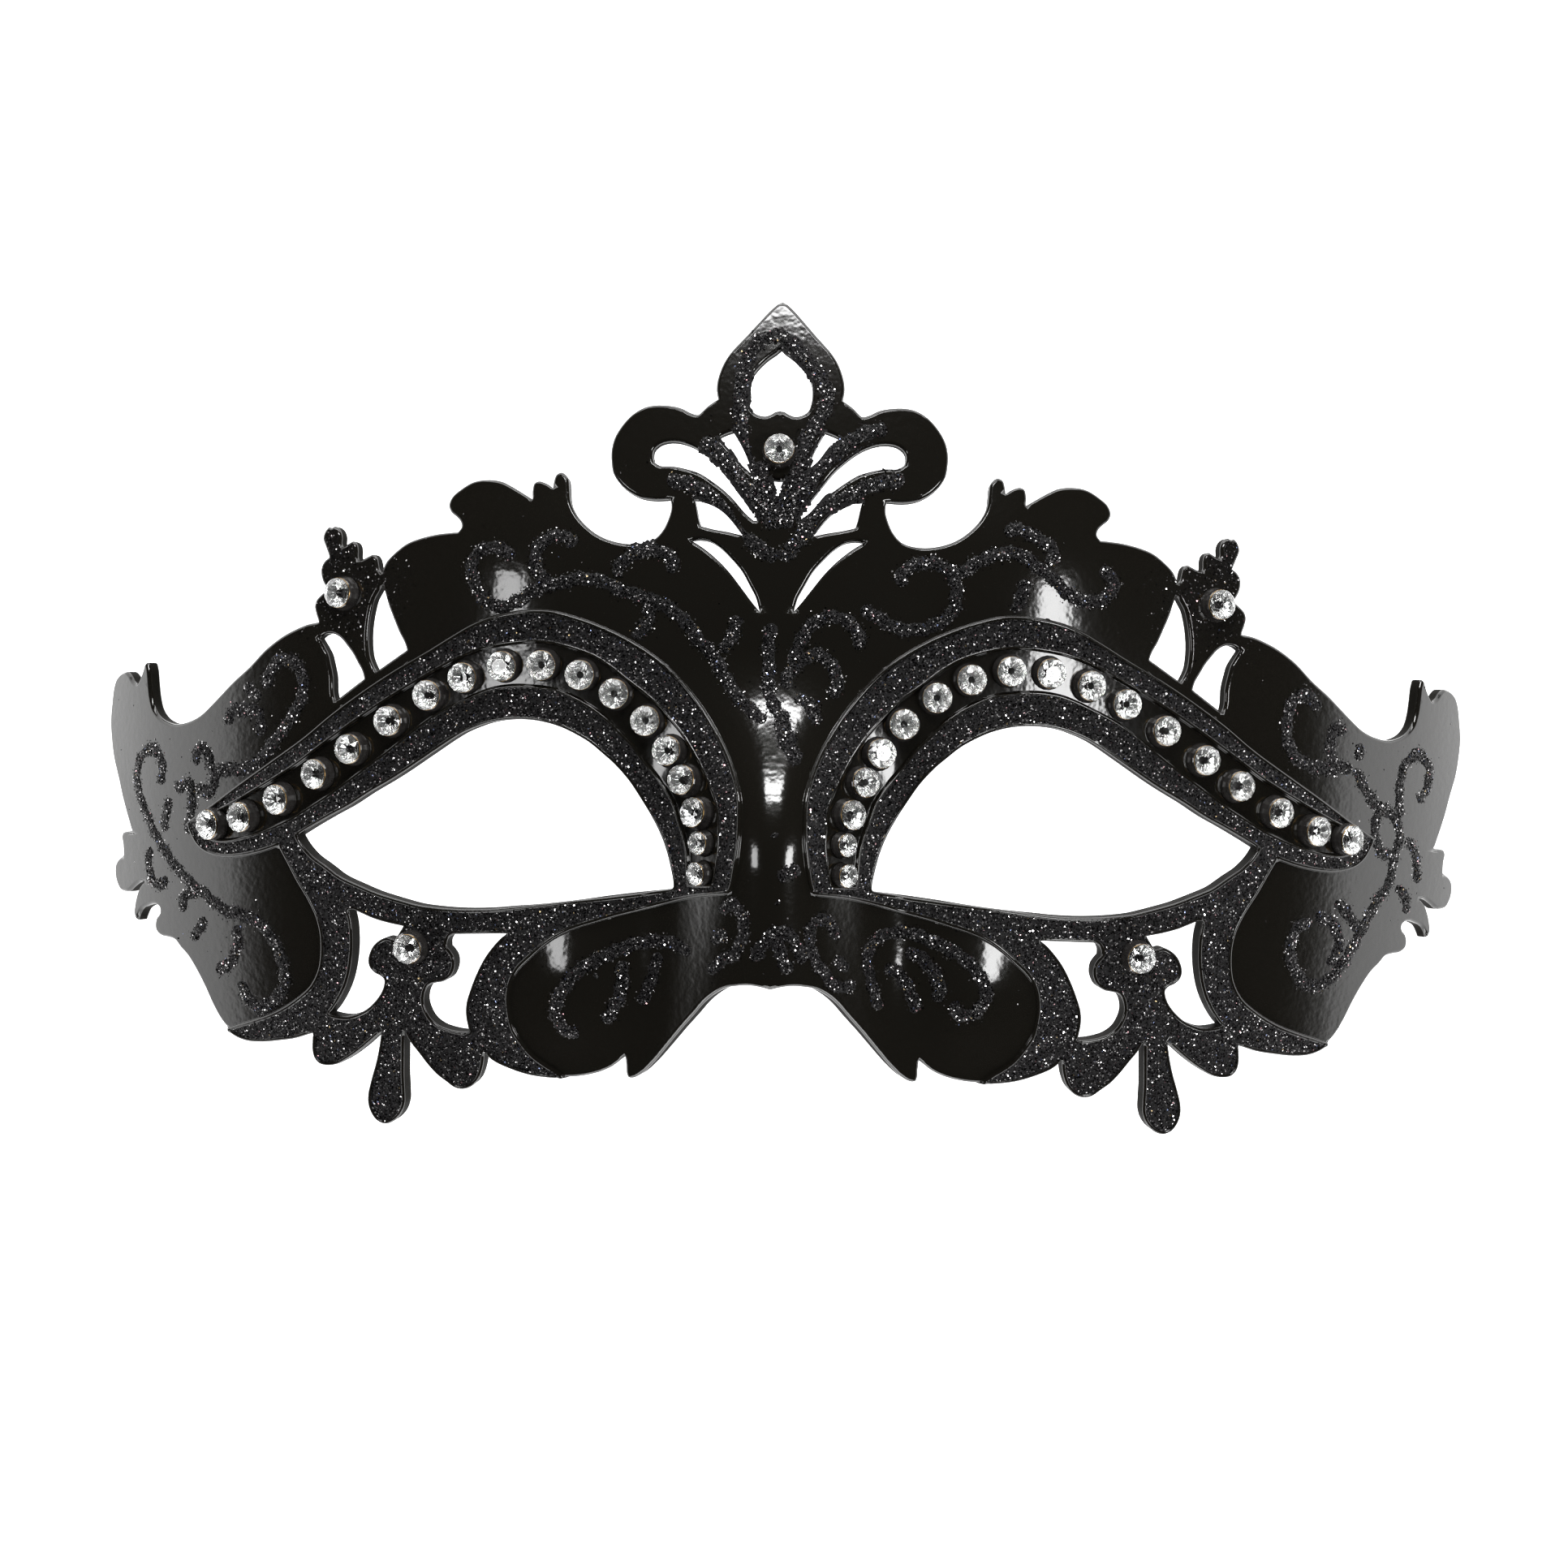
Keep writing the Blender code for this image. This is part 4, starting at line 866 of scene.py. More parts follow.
class Face:
    """The moulded lines of one half and everything that is measured from them."""

    def __init__(self):
        self.loops = [closed_line(OUTLINE)] + [closed_line(runs) for runs in OPENINGS.values()]
        self.rim = Border(self.loops, lambda points: on_face(self.loops, points))
        self.bands = closed_line(BANDS)
        self.channel = closed_line(CHANNEL)
        self.band_border = Border([self.bands], lambda points: inside(self.bands, points))
        self.channel_border = Border([self.channel], lambda points: inside(self.channel, points))

    def signed(self, border, line, points):
        """Distance along the surface, positive inside the area, and its plan gradient."""
        away, way = border.measure(points)
        sign = np.where(inside(line, points), 1.0, -1.0)
        on_line = away < 3e-6
        sign[on_line] = 1.0
        way = way * sign[:, None]
        grown = stretch(points, way)
        return away * sign * grown, way * grown[:, None]

    def relief(self, points):
        """Level above the smooth face, its plan gradient and how much of a glitter bed a point is."""
        rim, rim_way = self.rim.measure(points)
        grown = stretch(points, rim_way)
        rim, rim_way = rim * grown, rim_way * grown[:, None]
        band, band_way = self.signed(self.band_border, self.bands, points)
        channel, channel_way = self.signed(self.channel_border, self.channel, points)
        in_bed = ease((band + BEAD_RADIUS) / BEAD_RADIUS)
        level = border_profile(band) + channel_profile(channel) + rim_profile(rim, in_bed)
        push = gradient(border_profile, band)[:, None] * band_way
        push += gradient(channel_profile, channel)[:, None] * channel_way
        rise = np.clip(gradient(rim_profile, np.maximum(rim, 5e-6), in_bed), -40, 40)
        push += rise[:, None] * rim_way
        push[rim < 3e-6] = rim_way[rim < 3e-6] * 60
        bed = ease((band - BEAD_RADIUS * 0.75) / 5e-5) * ease((-channel - CORD_RADIUS * 0.7) / 5e-5)
        bed = bed * ease((rim - 1.6 * LIP_RADIUS) / 8e-5)
        clear = ease((np.abs(band) - 0.0004) / 1e-4) * ease((rim - 0.0003) / 1e-4)
        for out, up, reach, share in STREWN_SPOTS:
            away = np.linalg.norm(points - plan(out, up), axis=1)
            bed = np.maximum(bed, share * clear * (1 - ease(away / reach - 0.5)) * (band < 0))
        return level, push, np.maximum(bed, STRAY_SHARE * clear * (band < 0))


def both_halves(points, faces, vectors):
    """Adds the mirrored half. Points on the middle line are shared."""
    seam = np.abs(points[:, 0]) < 1e-7
    place = np.where(seam, np.arange(len(points)), len(points) + np.cumsum(~seam) - 1)
    turn = np.array((-1.0, 1.0, 1.0))
    points = np.vstack((points, points[~seam] * turn))
    vectors = np.vstack((vectors, vectors[~seam] * turn))
    return points, np.vstack((faces, place[faces][:, ::-1])), vectors, place, ~seam


def shell_mesh(face, lift, finishes):
    """The moulded shell as one closed mesh with its own normals and a mask of the glitter beds."""
    edge_rows = (0.00003, 0.00012, 0.00026, 0.00040, 0.00050, 0.00056)
    bead_rows = (-0.00043, -0.00036, -0.00030, -0.00026, -0.00015, -0.00002, 0.00015, 0.00026, 0.00034)
    cord_rows = (-0.00028, -0.00021, -0.00012, -0.00001, 0.00012, 0.00021, 0.00026, 0.00038)
    rows = [row_points(face.loops, face.rim, face.rim, edge_rows)]
    rows.append(row_points(face.loops, face.band_border, face.rim, bead_rows))
    rows.append(row_points(face.loops, face.channel_border, face.rim, cord_rows))
    rows.append(grid_points(face.loops, GRID_PITCH, (face.rim, face.band_border, face.channel_border)))
    front, front_faces = triangulate(face.loops, np.concatenate(rows))
    rims = rim_loops(front_faces)
    rim_lines = [front[loop] for loop in rims]
    back_rows = row_points(rim_lines, face.rim, face.rim, (0.00007, BACK_RADIUS))
    back_grid = grid_points(rim_lines, BACK_PITCH, (face.rim,))
    back, back_faces = triangulate(rim_lines, np.concatenate((back_rows, back_grid)))

    level, push, bed = face.relief(front)
    front_3d = placed(front, level, lift)
    front_normals = bent(front, push)
    rim, rim_way = face.rim.measure(back)
    grown = stretch(back, rim_way)
    rim, rim_way = rim * grown, rim_way * grown[:, None]
    sunk = half_round(np.maximum(BACK_RADIUS - rim, 0.0), BACK_RADIUS) - BACK_RADIUS
    back_3d = placed(back, -WALL - sunk, lift)
    steep = np.where(rim < 3e-6, 60.0, np.maximum(BACK_RADIUS - rim, 0) / np.maximum(sunk + BACK_RADIUS, 1e-6))
    back_normals = bent(back, steep[:, None] * rim_way)
    plain = normals(back)
    back_normals -= 2 * plain * (back_normals * plain).sum(axis=1)[:, None]
    for points, flat in ((front_3d, front), (back_3d, back)):
        points[np.abs(flat[:, 0]) < 1e-7, 0] = 0.0
        points[:, 2] = np.maximum(points[:, 2], 0.0)

    twin = {tuple(np.round(point, 9)): index for index, point in enumerate(back)}
    front_all, faces, front_normals, place, twice = both_halves(front_3d, front_faces, front_normals)
    back_all, back_tris, back_normals, back_place, _twice = both_halves(back_3d, back_faces, back_normals)
    first = len(front_all)
    walls = []
    for loop in rims:
        for a, b in zip(loop, loop[1:] + loop[:1]):
            if abs(front[a][0]) < 1e-7 and abs(front[b][0]) < 1e-7:
                continue
            back_a = twin[tuple(np.round(front[a], 9))]
            back_b = twin[tuple(np.round(front[b], 9))]
            walls.append((b, a, first + back_a, first + back_b))
            walls.append((place[a], place[b], first + back_place[back_b], first + back_place[back_a]))
    data = bpy.data.meshes.new("moulded_shell")
    for finish in finishes:
        data.materials.append(finish)
    everything = np.vstack((front_all, back_all))
    data.from_pydata(everything, [], [*faces.tolist(), *(back_tris[:, ::-1] + first).tolist(), *walls])
    mask = data.attributes.new("bed", "FLOAT", "POINT")
    mask.data.foreach_set("value", np.concatenate((bed, bed[twice], np.zeros(len(back_all)))))
    data.polygons.foreach_set("use_smooth", [True] * len(data.polygons))
    glued = np.concatenate((bed, bed[twice]))[faces].mean(axis=1) > 0.5
    slots = [2 if face else 0 for face in glued] + [0] * len(back_tris) + [1] * len(walls)
    data.polygons.foreach_set("material_index", slots)
    data.validate(clean_customdata=False)
    data.normals_split_custom_set_from_vertices(np.vstack((front_normals, back_normals)))
    return data


# Glitter strokes.


def signed_plan(row):
    """A stroke point in plan metres, from thousandths of the pattern."""
    return plan(row[0] / 1000, row[1] / 1000)


def waver(run, seed):
    """A slow irregular wave along a run, between about -1 and 1."""
    phases = np.random.default_rng(seed).uniform(0, 2 * math.pi, 3)
    return (
        np.sin(run * 2600 + phases[0]) * 0.5
        + np.sin(run * 6100 + phases[1]) * 0.3
        + np.sin(run * 13500 + phases[2]) * 0.35
    )


def stroke_mesh(face, lift, width, height):
    """All glitter strokes as low domed strips. Their thinly strewn fringe lies just under the plastic's skin."""
    verts, faces = [], []
    ribs = np.array((-1.5, -1.0, -0.8, -0.4, 0.0, 0.4, 0.8, 1.0, 1.5))
    strewn = (0.0, 0.4, 0.9, 1.0, 1.0, 1.0, 0.9, 0.4, 0.0)
    for number, (_name, share, points) in enumerate(
        (name, share, stroke) for name, share, strokes in STROKES for stroke in strokes
    ):
        line = even_steps(smooth_run([signed_plan(row) for row in points]), STROKE_STEP)
        flipped = line * np.where(line[:, :1] < 0, (-1.0, 1.0), (1.0, 1.0))
        room = face.rim.measure(flipped)[0]
        keep = on_face(face.loops, flipped) & (room > 0.00035)
        tangent = np.gradient(line, axis=0)
        tangent /= np.maximum(np.linalg.norm(tangent, axis=1, keepdims=True), 1e-9)
        side = np.stack((-tangent[:, 1], tangent[:, 0]), axis=1)
        grown = stretch(line, side)
        run = np.concatenate(([0.0], np.cumsum(np.linalg.norm(np.diff(line, axis=0), axis=1))))
        half = width * share / 2
        left = half * (1 + 0.26 * waver(run, number * 2 + 1))
        right = half * (1 + 0.26 * waver(run, number * 2 + 2))
        for ends in (run, run[-1] - run):
            part = np.clip(ends / half, 0.0, 1.0)
            blunt = 0.25 + 0.75 * np.sqrt(1 - (1 - part) ** 2)
            left, right = left * blunt, right * blunt
        left, right = (np.minimum(reach, np.maximum(room * grown - 0.00012, 0.0001)) for reach in (left, right))
        tall = height * np.minimum((left + right) / width, 1.0) * (1 + 0.2 * waver(run, number + 400))
        rows = []
        for i in range(len(line)):
            if not keep[i]:
                rows.append(None)
                continue
            reach = np.where(ribs < 0, right[i], left[i]) * ribs / grown[i]
            flat = line[i] + side[i] * reach[:, None]
            level = tall[i] * np.sqrt(np.maximum(1 - ribs**2, 0.0)) - 0.00002 * np.abs(ribs)
            rows.append(len(verts))
            verts.extend(placed(flat, level, lift))
        for i, (a, b) in enumerate(zip(rows, rows[1:])):
            if a is None or b is None:
                continue
            for k in range(len(ribs) - 1):
                faces.append((a + k, b + k, b + k + 1, a + k + 1))
    data = bpy.data.meshes.new("glitter_strokes")
    data.from_pydata(verts, [], faces)
    mask = data.attributes.new("bed", "FLOAT", "POINT")
    mask.data.foreach_set("value", np.tile(strewn, len(verts) // len(strewn)))
    data.polygons.foreach_set("use_smooth", [True] * len(data.polygons))
    data.validate(clean_customdata=False)
    return data


# Nodes.


class Wire:
    """One socket of a node tree. Arithmetic on it adds Math nodes."""

    def __init__(self, tree, socket=None):
        self.tree, self.socket = tree, socket

    def node(self, kind, settings=None, sockets=None, output=0):
        """Adds a node. Its settings come first, then the values or links of its sockets."""
        made = self.tree.nodes.new(kind)
        for name, value in (settings or {}).items():
            if name == "stops":
                ramp = made.color_ramp
                while len(ramp.elements) < len(value):
                    ramp.elements.new(1.0)
                for element, (position, colour) in zip(ramp.elements, value):
                    element.position, element.color = position, (*colour, 1.0)
            elif name == "interpolation":
                made.color_ramp.interpolation = value
            else:
                setattr(made, name, value)
        for name, value in (sockets or {}).items():
            if isinstance(value, Wire):
                self.tree.links.new(value.socket, made.inputs[name])
            else:
                made.inputs[name].default_value = value
        return Wire(self.tree, made.outputs[output])

    def maths(self, operation, *values):
        return self.node("ShaderNodeMath", {"operation": operation}, dict(enumerate(values)))

    def __add__(self, other):
        return self.maths("ADD", self, other)

    __radd__ = __add__

    def __sub__(self, other):
        return self.maths("SUBTRACT", self, other)

    def __rsub__(self, other):
        return self.maths("SUBTRACT", other, self)

    def __mul__(self, other):
        return self.maths("MULTIPLY", self, other)

    __rmul__ = __mul__

    def clamped(self):
        return self.maths("MINIMUM", self.maths("MAXIMUM", self, 0.0), 1.0)


def surface(name, **constants):
    """A material with one Principled BSDF. Returns it, its shader node and a wire to build with."""
    made = bpy.data.materials.new(name)
    made.use_nodes = True
    shader = made.node_tree.nodes["Principled BSDF"]
    for socket, value in constants.items():
        shader.inputs[socket.replace("_", " ")].default_value = value
    if "Base_Color" in constants:
        made.diffuse_color = constants["Base_Color"]
    return made, shader, Wire(made.node_tree)


def plug(shader, name, wire):
    wire.tree.links.new(wire.socket, shader.inputs[name])


def tinted(wire, share, low, high):
    """A colour between two colours."""
    return wire.node(
        "ShaderNodeMix",
        {"data_type": "RGBA"},
        {0: share, 6: (*low, 1.0), 7: (*high, 1.0)},
        output=2,
    )


def noise(wire, scale, detail=2.0, roughness=0.5, across=(1.0, 1.0, 1.0)):
    place = wire.node("ShaderNodeTexCoord", output=3)
    place = wire.node("ShaderNodeMapping", None, {"Vector": place, "Scale": across})
    return wire.node(
        "ShaderNodeTexNoise", None, {"Vector": place, "Scale": scale, "Detail": detail, "Roughness": roughness}
    )


def bump(wire, height, distance, strength=1.0):
    return wire.node("ShaderNodeBump", None, {"Height": height, "Distance": distance, "Strength": strength})


def moulded_plastic(look):
    """Gloss black with a faint ripple, and the dull dark floor of the glitter beds."""
    made, shader, wire = surface("moulded_black_plastic", IOR=1.5, Base_Color=(*look.plastic, 1.0))
    bed = wire.node("ShaderNodeAttribute", {"attribute_name": "bed"}, output=2)
    ripple = noise(wire, 1150.0, 1.0)
    sag = noise(wire, 240.0, 1.0)
    grain = noise(wire, 2400.0, 3.0)
    cloud = noise(wire, 45.0, 3.0)
    plug(shader, "Base Color", tinted(wire, bed, look.plastic, look.bed))
    rough = look.gloss * (0.82 + 0.36 * cloud) + 0.03 * grain
    plug(shader, "Roughness", (rough + bed * 0.14).clamped())
    height = ripple * 0.000020 + sag * 0.000020 + grain * (0.0000009 + bed * 0.00004)
    plug(shader, "Normal", bump(wire, height, 1.0))
    return made


def glitter_glue(look):
    """The dark glue under the flakes of a stroke."""
    made, shader, wire = surface("glitter_glue", IOR=1.30, Base_Color=(*look.bed, 1.0))
    grain = noise(wire, 3600.0, 3.0, 0.65)
    plug(shader, "Base Color", tinted(wire, grain, tuple(0.5 * part for part in look.bed), look.bed))
    plug(shader, "Roughness", 0.45 + 0.35 * grain)
    plug(shader, "Normal", bump(wire, grain * 0.00009, 1.0))
    return made


def flake_foil():
    """Metal foil flakes: most dark, some bright, a few tinted."""
    made, shader, wire = surface("glitter_flakes", Metallic=0.85, Base_Color=(0.08, 0.078, 0.08, 1.0))
    tone = wire.node("ShaderNodeAttribute", {"attribute_name": "tone"}, output=2)
    colours = wire.node(
        "ShaderNodeValToRGB",
        {"stops": FLAKE_TONES, "interpolation": "CONSTANT"},
        {"Fac": tone},
    )
    plug(shader, "Base Color", colours)
    plug(shader, "Roughness", 0.10 + 0.18 * noise(wire, 900.0))
    return made


def plain_finish(name, low, high, scale, rough, metallic=0.0, **constants):
    """A finish with a little variation in colour and roughness."""
    made, shader, wire = surface(name, Metallic=metallic, Base_Color=(*high, 1.0), **constants)
    spots = noise(wire, scale, 3.0)
    plug(shader, "Base Color", tinted(wire, spots, low, high))
    plug(shader, "Roughness", rough[0] + (rough[1] - rough[0]) * spots)
    return made


# Geometry nodes.


def tree_with(name, inputs):
    """An empty geometry tree with a mesh in, a mesh out and named inputs."""
    tree = bpy.data.node_groups.new(name, "GeometryNodeTree")
    tree.interface.new_socket("Geometry", in_out="INPUT", socket_type="NodeSocketGeometry")
    for label, (kind, value) in inputs.items():
        socket = tree.interface.new_socket(label, in_out="INPUT", socket_type=kind)
        socket.default_value = value
    tree.interface.new_socket("Geometry", in_out="OUTPUT", socket_type="NodeSocketGeometry")
    source = tree.nodes.new("NodeGroupInput")
    wires = {socket.name: Wire(tree, socket) for socket in source.outputs if socket.name}
    return tree, wires


def finish_tree(tree, wire, material):
    """Realizes the instances, sets the material and ends the tree."""
    real = wire.node("GeometryNodeRealizeInstances", None, {"Geometry": wire})
    coated = wire.node("GeometryNodeSetMaterial", None, {"Geometry": real, "Material": material})
    end = tree.nodes.new("NodeGroupOutput")
    tree.links.new(coated.socket, end.inputs[0])


def grown_piece(name, carrier, tree, values):
    """Runs a tree on a carrier mesh and returns the result as a plain object."""
    holder = bpy.data.objects.new(name + "_carrier", carrier)
    bpy.context.scene.collection.objects.link(holder)
    modifier = holder.modifiers.new("Nodes", "NODES")
    modifier.node_group = tree
    labels = {item.name: item.identifier for item in tree.interface.items_tree if item.in_out == "INPUT"}
    for label, value in values.items():
        modifier[labels[label]] = value
    graph = bpy.context.evaluated_depsgraph_get()
    data = bpy.data.meshes.new_from_object(holder.evaluated_get(graph), depsgraph=graph)
    data.name = name
    bpy.data.objects.remove(holder, do_unlink=True)
    if not data.polygons:
        raise RuntimeError(f"{name} came out empty")
    return added(name, data)


def flake_tree(material):
    """Hexagonal flakes strewn over the masked part of a mesh, each with its own tilt, size and tone."""
    tree, ins = tree_with(
        "strewn_flakes",
        {
            "Flakes per square metre": ("NodeSocketFloat", 1e7),
            "Flake width": ("NodeSocketFloat", 0.00028),
            "Tilt": ("NodeSocketFloat", 0.4),
            "Depth": ("NodeSocketFloat", 0.0001),
            "Seed": ("NodeSocketInt", 1),
        },
    )
    mesh = ins["Geometry"]
    mask = mesh.node("GeometryNodeInputNamedAttribute", {"data_type": "FLOAT"}, {"Name": "bed"})
    strewn = mesh.node(
        "GeometryNodeDistributePointsOnFaces",
        {"distribute_method": "RANDOM"},
        {"Mesh": mesh, "Density": mask * ins["Flakes per square metre"], "Seed": ins["Seed"]},
    )
    outs = strewn.socket.node.outputs
    normal, rotation = Wire(tree, outs["Normal"]), Wire(tree, outs["Rotation"])

    def chance(low, high, seed):
        return mesh.node(
            "FunctionNodeRandomValue", {"data_type": "FLOAT"}, {2: low, 3: high, "Seed": seed}, output=1
        )

    rise = chance(0.0, 1.0, 11) * ins["Depth"]
    shift = mesh.node("ShaderNodeVectorMath", {"operation": "SCALE"}, {0: normal, "Scale": rise})
    lifted = mesh.node("GeometryNodeSetPosition", None, {"Geometry": strewn, "Offset": shift})
    lean = ins["Tilt"]
    tilt_x = (chance(-1.0, 1.0, 12) + chance(-1.0, 1.0, 13)) * 0.5 * lean
    tilt_y = (chance(-1.0, 1.0, 14) + chance(-1.0, 1.0, 15)) * 0.5 * lean
    spin = chance(0.0, 1.05, 16)
    turn = mesh.node("ShaderNodeCombineXYZ", None, {"X": tilt_x, "Y": tilt_y, "Z": spin})
    turn = mesh.node("FunctionNodeEulerToRotation", None, {"Euler": turn})
    turned = mesh.node(
        "FunctionNodeRotateRotation",
        {"rotation_space": "LOCAL"},
        {"Rotation": rotation, "Rotate By": turn},
    )
    flake = mesh.node(
        "GeometryNodeMeshCircle",
        {"fill_type": "NGON"},
        {"Vertices": 6, "Radius": ins["Flake width"] * 0.5},
    )
    size = chance(0.55, 1.15, 17)
    placed_flakes = mesh.node(
        "GeometryNodeInstanceOnPoints",
        None,
        {"Points": lifted, "Instance": flake, "Rotation": turned, "Scale": size},
    )
    toned = mesh.node(
        "GeometryNodeStoreNamedAttribute",
        {"data_type": "FLOAT", "domain": "INSTANCE"},
        {"Geometry": placed_flakes, "Name": "tone", "Value": chance(0.0, 1.0, 18)},
    )
    finish_tree(tree, toned, material)
    return tree


def setting_tree(material, part):
    """Sets one copy of a part on each point, turned to the point's own normal and spin."""
    tree, ins = tree_with("set_stones", {"Width share": ("NodeSocketFloat", 1.0)})
    points = ins["Geometry"]
    normal = points.node("GeometryNodeInputNamedAttribute", {"data_type": "FLOAT_VECTOR"}, {"Name": "seat_normal"})
    width = points.node("GeometryNodeInputNamedAttribute", {"data_type": "FLOAT"}, {"Name": "stone_width"})
    spin = points.node("GeometryNodeInputNamedAttribute", {"data_type": "FLOAT"}, {"Name": "spin"})
    upright = points.node("FunctionNodeAlignRotationToVector", {"axis": "Z"}, {"Vector": normal})
    own = points.node("ShaderNodeCombineXYZ", None, {"Z": spin})
    own = points.node("FunctionNodeEulerToRotation", None, {"Euler": own})
    turned = points.node(
        "FunctionNodeRotateRotation",
        {"rotation_space": "LOCAL"},
        {"Rotation": upright, "Rotate By": own},
    )
    source = points.node("GeometryNodeObjectInfo", None, {"Object": part}, output="Geometry")
    copies = points.node(
        "GeometryNodeInstanceOnPoints",
        None,
        {"Points": points, "Instance": source, "Rotation": turned, "Scale": width * ins["Width share"]},
    )
    finish_tree(tree, copies, material)
    return tree


# Stones.


def cut_stone_mesh(glass, foil):
    """One round cut stone of width 1: 8 main facets, table, stars, girdle facets and a foiled, pointed back."""
    mesh = bmesh.new()

    def ring(count, radius, height, shift=0.0):
        turns = (2 * math.pi * (i + shift) / count for i in range(count))
        return [mesh.verts.new((radius * math.cos(a), radius * math.sin(a), height)) for a in turns]

    table = ring(8, 0.275, 0.575)
    crown = ring(8, 0.400, 0.515, 0.5)
    upper = ring(16, 0.500, 0.405)
    lower = ring(16, 0.500, 0.370)
    back = ring(8, 0.260, 0.140, 0.5)
    point = ring(8, 0.060, 0.000)
    made = [(mesh.faces.new(table), 0), (mesh.faces.new(point[::-1]), 1)]
    for i in range(8):
        k, j = (i + 1) % 8, (i - 1) % 8
        made.append((mesh.faces.new((table[i], crown[i], table[k])), 0))
        made.append((mesh.faces.new((table[i], crown[j], upper[2 * i], crown[i])), 0))
        made.append((mesh.faces.new((crown[i], upper[2 * i], upper[2 * i + 1])), 0))
        made.append((mesh.faces.new((crown[i], upper[2 * i + 1], upper[(2 * i + 2) % 16])), 0))
        made.append((mesh.faces.new((back[i], lower[2 * i + 1], lower[2 * i])), 1))
        made.append((mesh.faces.new((back[i], lower[(2 * i + 2) % 16], lower[2 * i + 1])), 1))
        made.append((mesh.faces.new((point[i], back[i], lower[2 * i], back[j])), 1))
        made.append((mesh.faces.new((point[i], point[k], back[i])), 1))
    for i in range(16):
        k = (i + 1) % 16
        made.append((mesh.faces.new((lower[i], lower[k], upper[k], upper[i])), 0))
    for item, slot in made:
        item.material_index = slot
    bmesh.ops.recalc_face_normals(mesh, faces=mesh.faces)
    data = bpy.data.meshes.new("cut_stone")
    data.materials.append(glass)
    data.materials.append(foil)
    mesh.to_mesh(data)
    mesh.free()
    return data


def turned_mesh(name, profile, sides):
    """A closed turned body of width 1. The profile runs from axis to axis as (radius, height)."""
    mesh = bmesh.new()
    rings = []
    for radius, height in profile:
        if radius == 0:
            rings.append([mesh.verts.new((0, 0, height))])
            continue
        turns = (2 * math.pi * i / sides for i in range(sides))
        rings.append([mesh.verts.new((radius * math.cos(a), radius * math.sin(a), height)) for a in turns])
    for a, b in zip(rings, rings[1:]):
        for i in range(sides):
            k = (i + 1) % sides
            if len(a) == 1:
                mesh.faces.new((a[0], b[i], b[k]))
            elif len(b) == 1:
                mesh.faces.new((a[i], b[0], a[k]))
            else:
                mesh.faces.new((a[i], b[i], b[k], a[k]))
    bmesh.ops.recalc_face_normals(mesh, faces=mesh.faces)
    data = bpy.data.meshes.new(name)
    mesh.to_mesh(data)
    mesh.free()
    return data


CUP_PROFILE = (
    (0, -0.030), (0.090, -0.030), (0.500, 0.330), (0.506, 0.352), (0.500, 0.360), (0.494, 0.350),
    (0.266, 0.130), (0.066, -0.008), (0, -0.008),
)
GLUE_PROFILE = (
    (0, -0.070), (0.590, -0.070), (0.570, 0.030), (0.530, 0.140), (0.506, 0.250), (0.470, 0.290), (0.400, 0.235),
    (0.20, 0.06), (0, 0.02),
)


def seats_mesh(rows, lift, seed):
    """One point for each stone, with the direction of its seat, its width and a spin."""
    draw = np.random.default_rng(seed)
    places, ups, widths, spins = [], [], [], []
    for out, up, width, side in rows:
        flat = plan(out, up)[None, :]
        in_channel = inside(closed_line(CHANNEL), flat)[0]
        in_band = inside(closed_line(BANDS), flat)[0]
        level = RING_RISE * in_band - CHANNEL_SINK * in_channel + STONE_GAP
        normal = normals(flat)[0]
        seat = placed(flat, np.array((level,)), lift)[0]
        turn = np.array((side, 1, 1))
        lean = np.append(draw.uniform(-0.035, 0.035, 2), 0.0)
        up_way = normal * turn + lean
        places.append(seat * turn)
        ups.append(up_way / np.linalg.norm(up_way))
        widths.append(width)
        spins.append(draw.uniform(0.0, math.pi / 4))
    data = bpy.data.meshes.new("stone_seats")
    data.from_pydata(places, [], [])
    data.attributes.new("seat_normal", "FLOAT_VECTOR", "POINT").data.foreach_set("vector", np.ravel(ups))
    data.attributes.new("stone_width", "FLOAT", "POINT").data.foreach_set("value", widths)
    data.attributes.new("spin", "FLOAT", "POINT").data.foreach_set("value", spins)
    return data


# Object helpers.


def added(name, data):
    made = bpy.data.objects.new(name, data)
    bpy.context.scene.collection.objects.link(made)
    return made


def dressed(piece, slot, *nodes):
    """Attaches a finished piece to the one body and hides the CAD nodes that it stands for. The slot argument is not
    used.
    """
    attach(piece, "root")
    if nodes:
        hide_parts(*nodes)
    return piece


def softbox(name, place, target, size, radiance):
    """An area light of the given brightness, whatever its size."""
    light = bpy.data.lights.new(name, "AREA")
    light.shape = "RECTANGLE"
    light.size, light.size_y = size
    light.energy = math.pi * size[0] * size[1] * radiance
    made = added(name, light)
    made.location = place
    made.rotation_euler = (Vector(target) - Vector(place)).to_track_quat("-Z", "Y").to_euler()
    return made


# Sizes and colours that a user would change.


class MaskShellSettings(bpy.types.PropertyGroup):
    plastic: FloatVectorProperty(
        name="Plastic", description="Colour of the moulded plastic", subtype="COLOR", default=(0.0068, 0.0061, 0.0047)
    )
    bed: FloatVectorProperty(
        name="Glitter bed", description="Colour of the glue under the glitter", subtype="COLOR",
        default=(0.007, 0.0065, 0.007),
    )
    gloss: FloatProperty(
        name="Roughness", description="Mean roughness of the gloss plastic", subtype="FACTOR", default=0.10,
        min=0.02, max=0.6,
    )


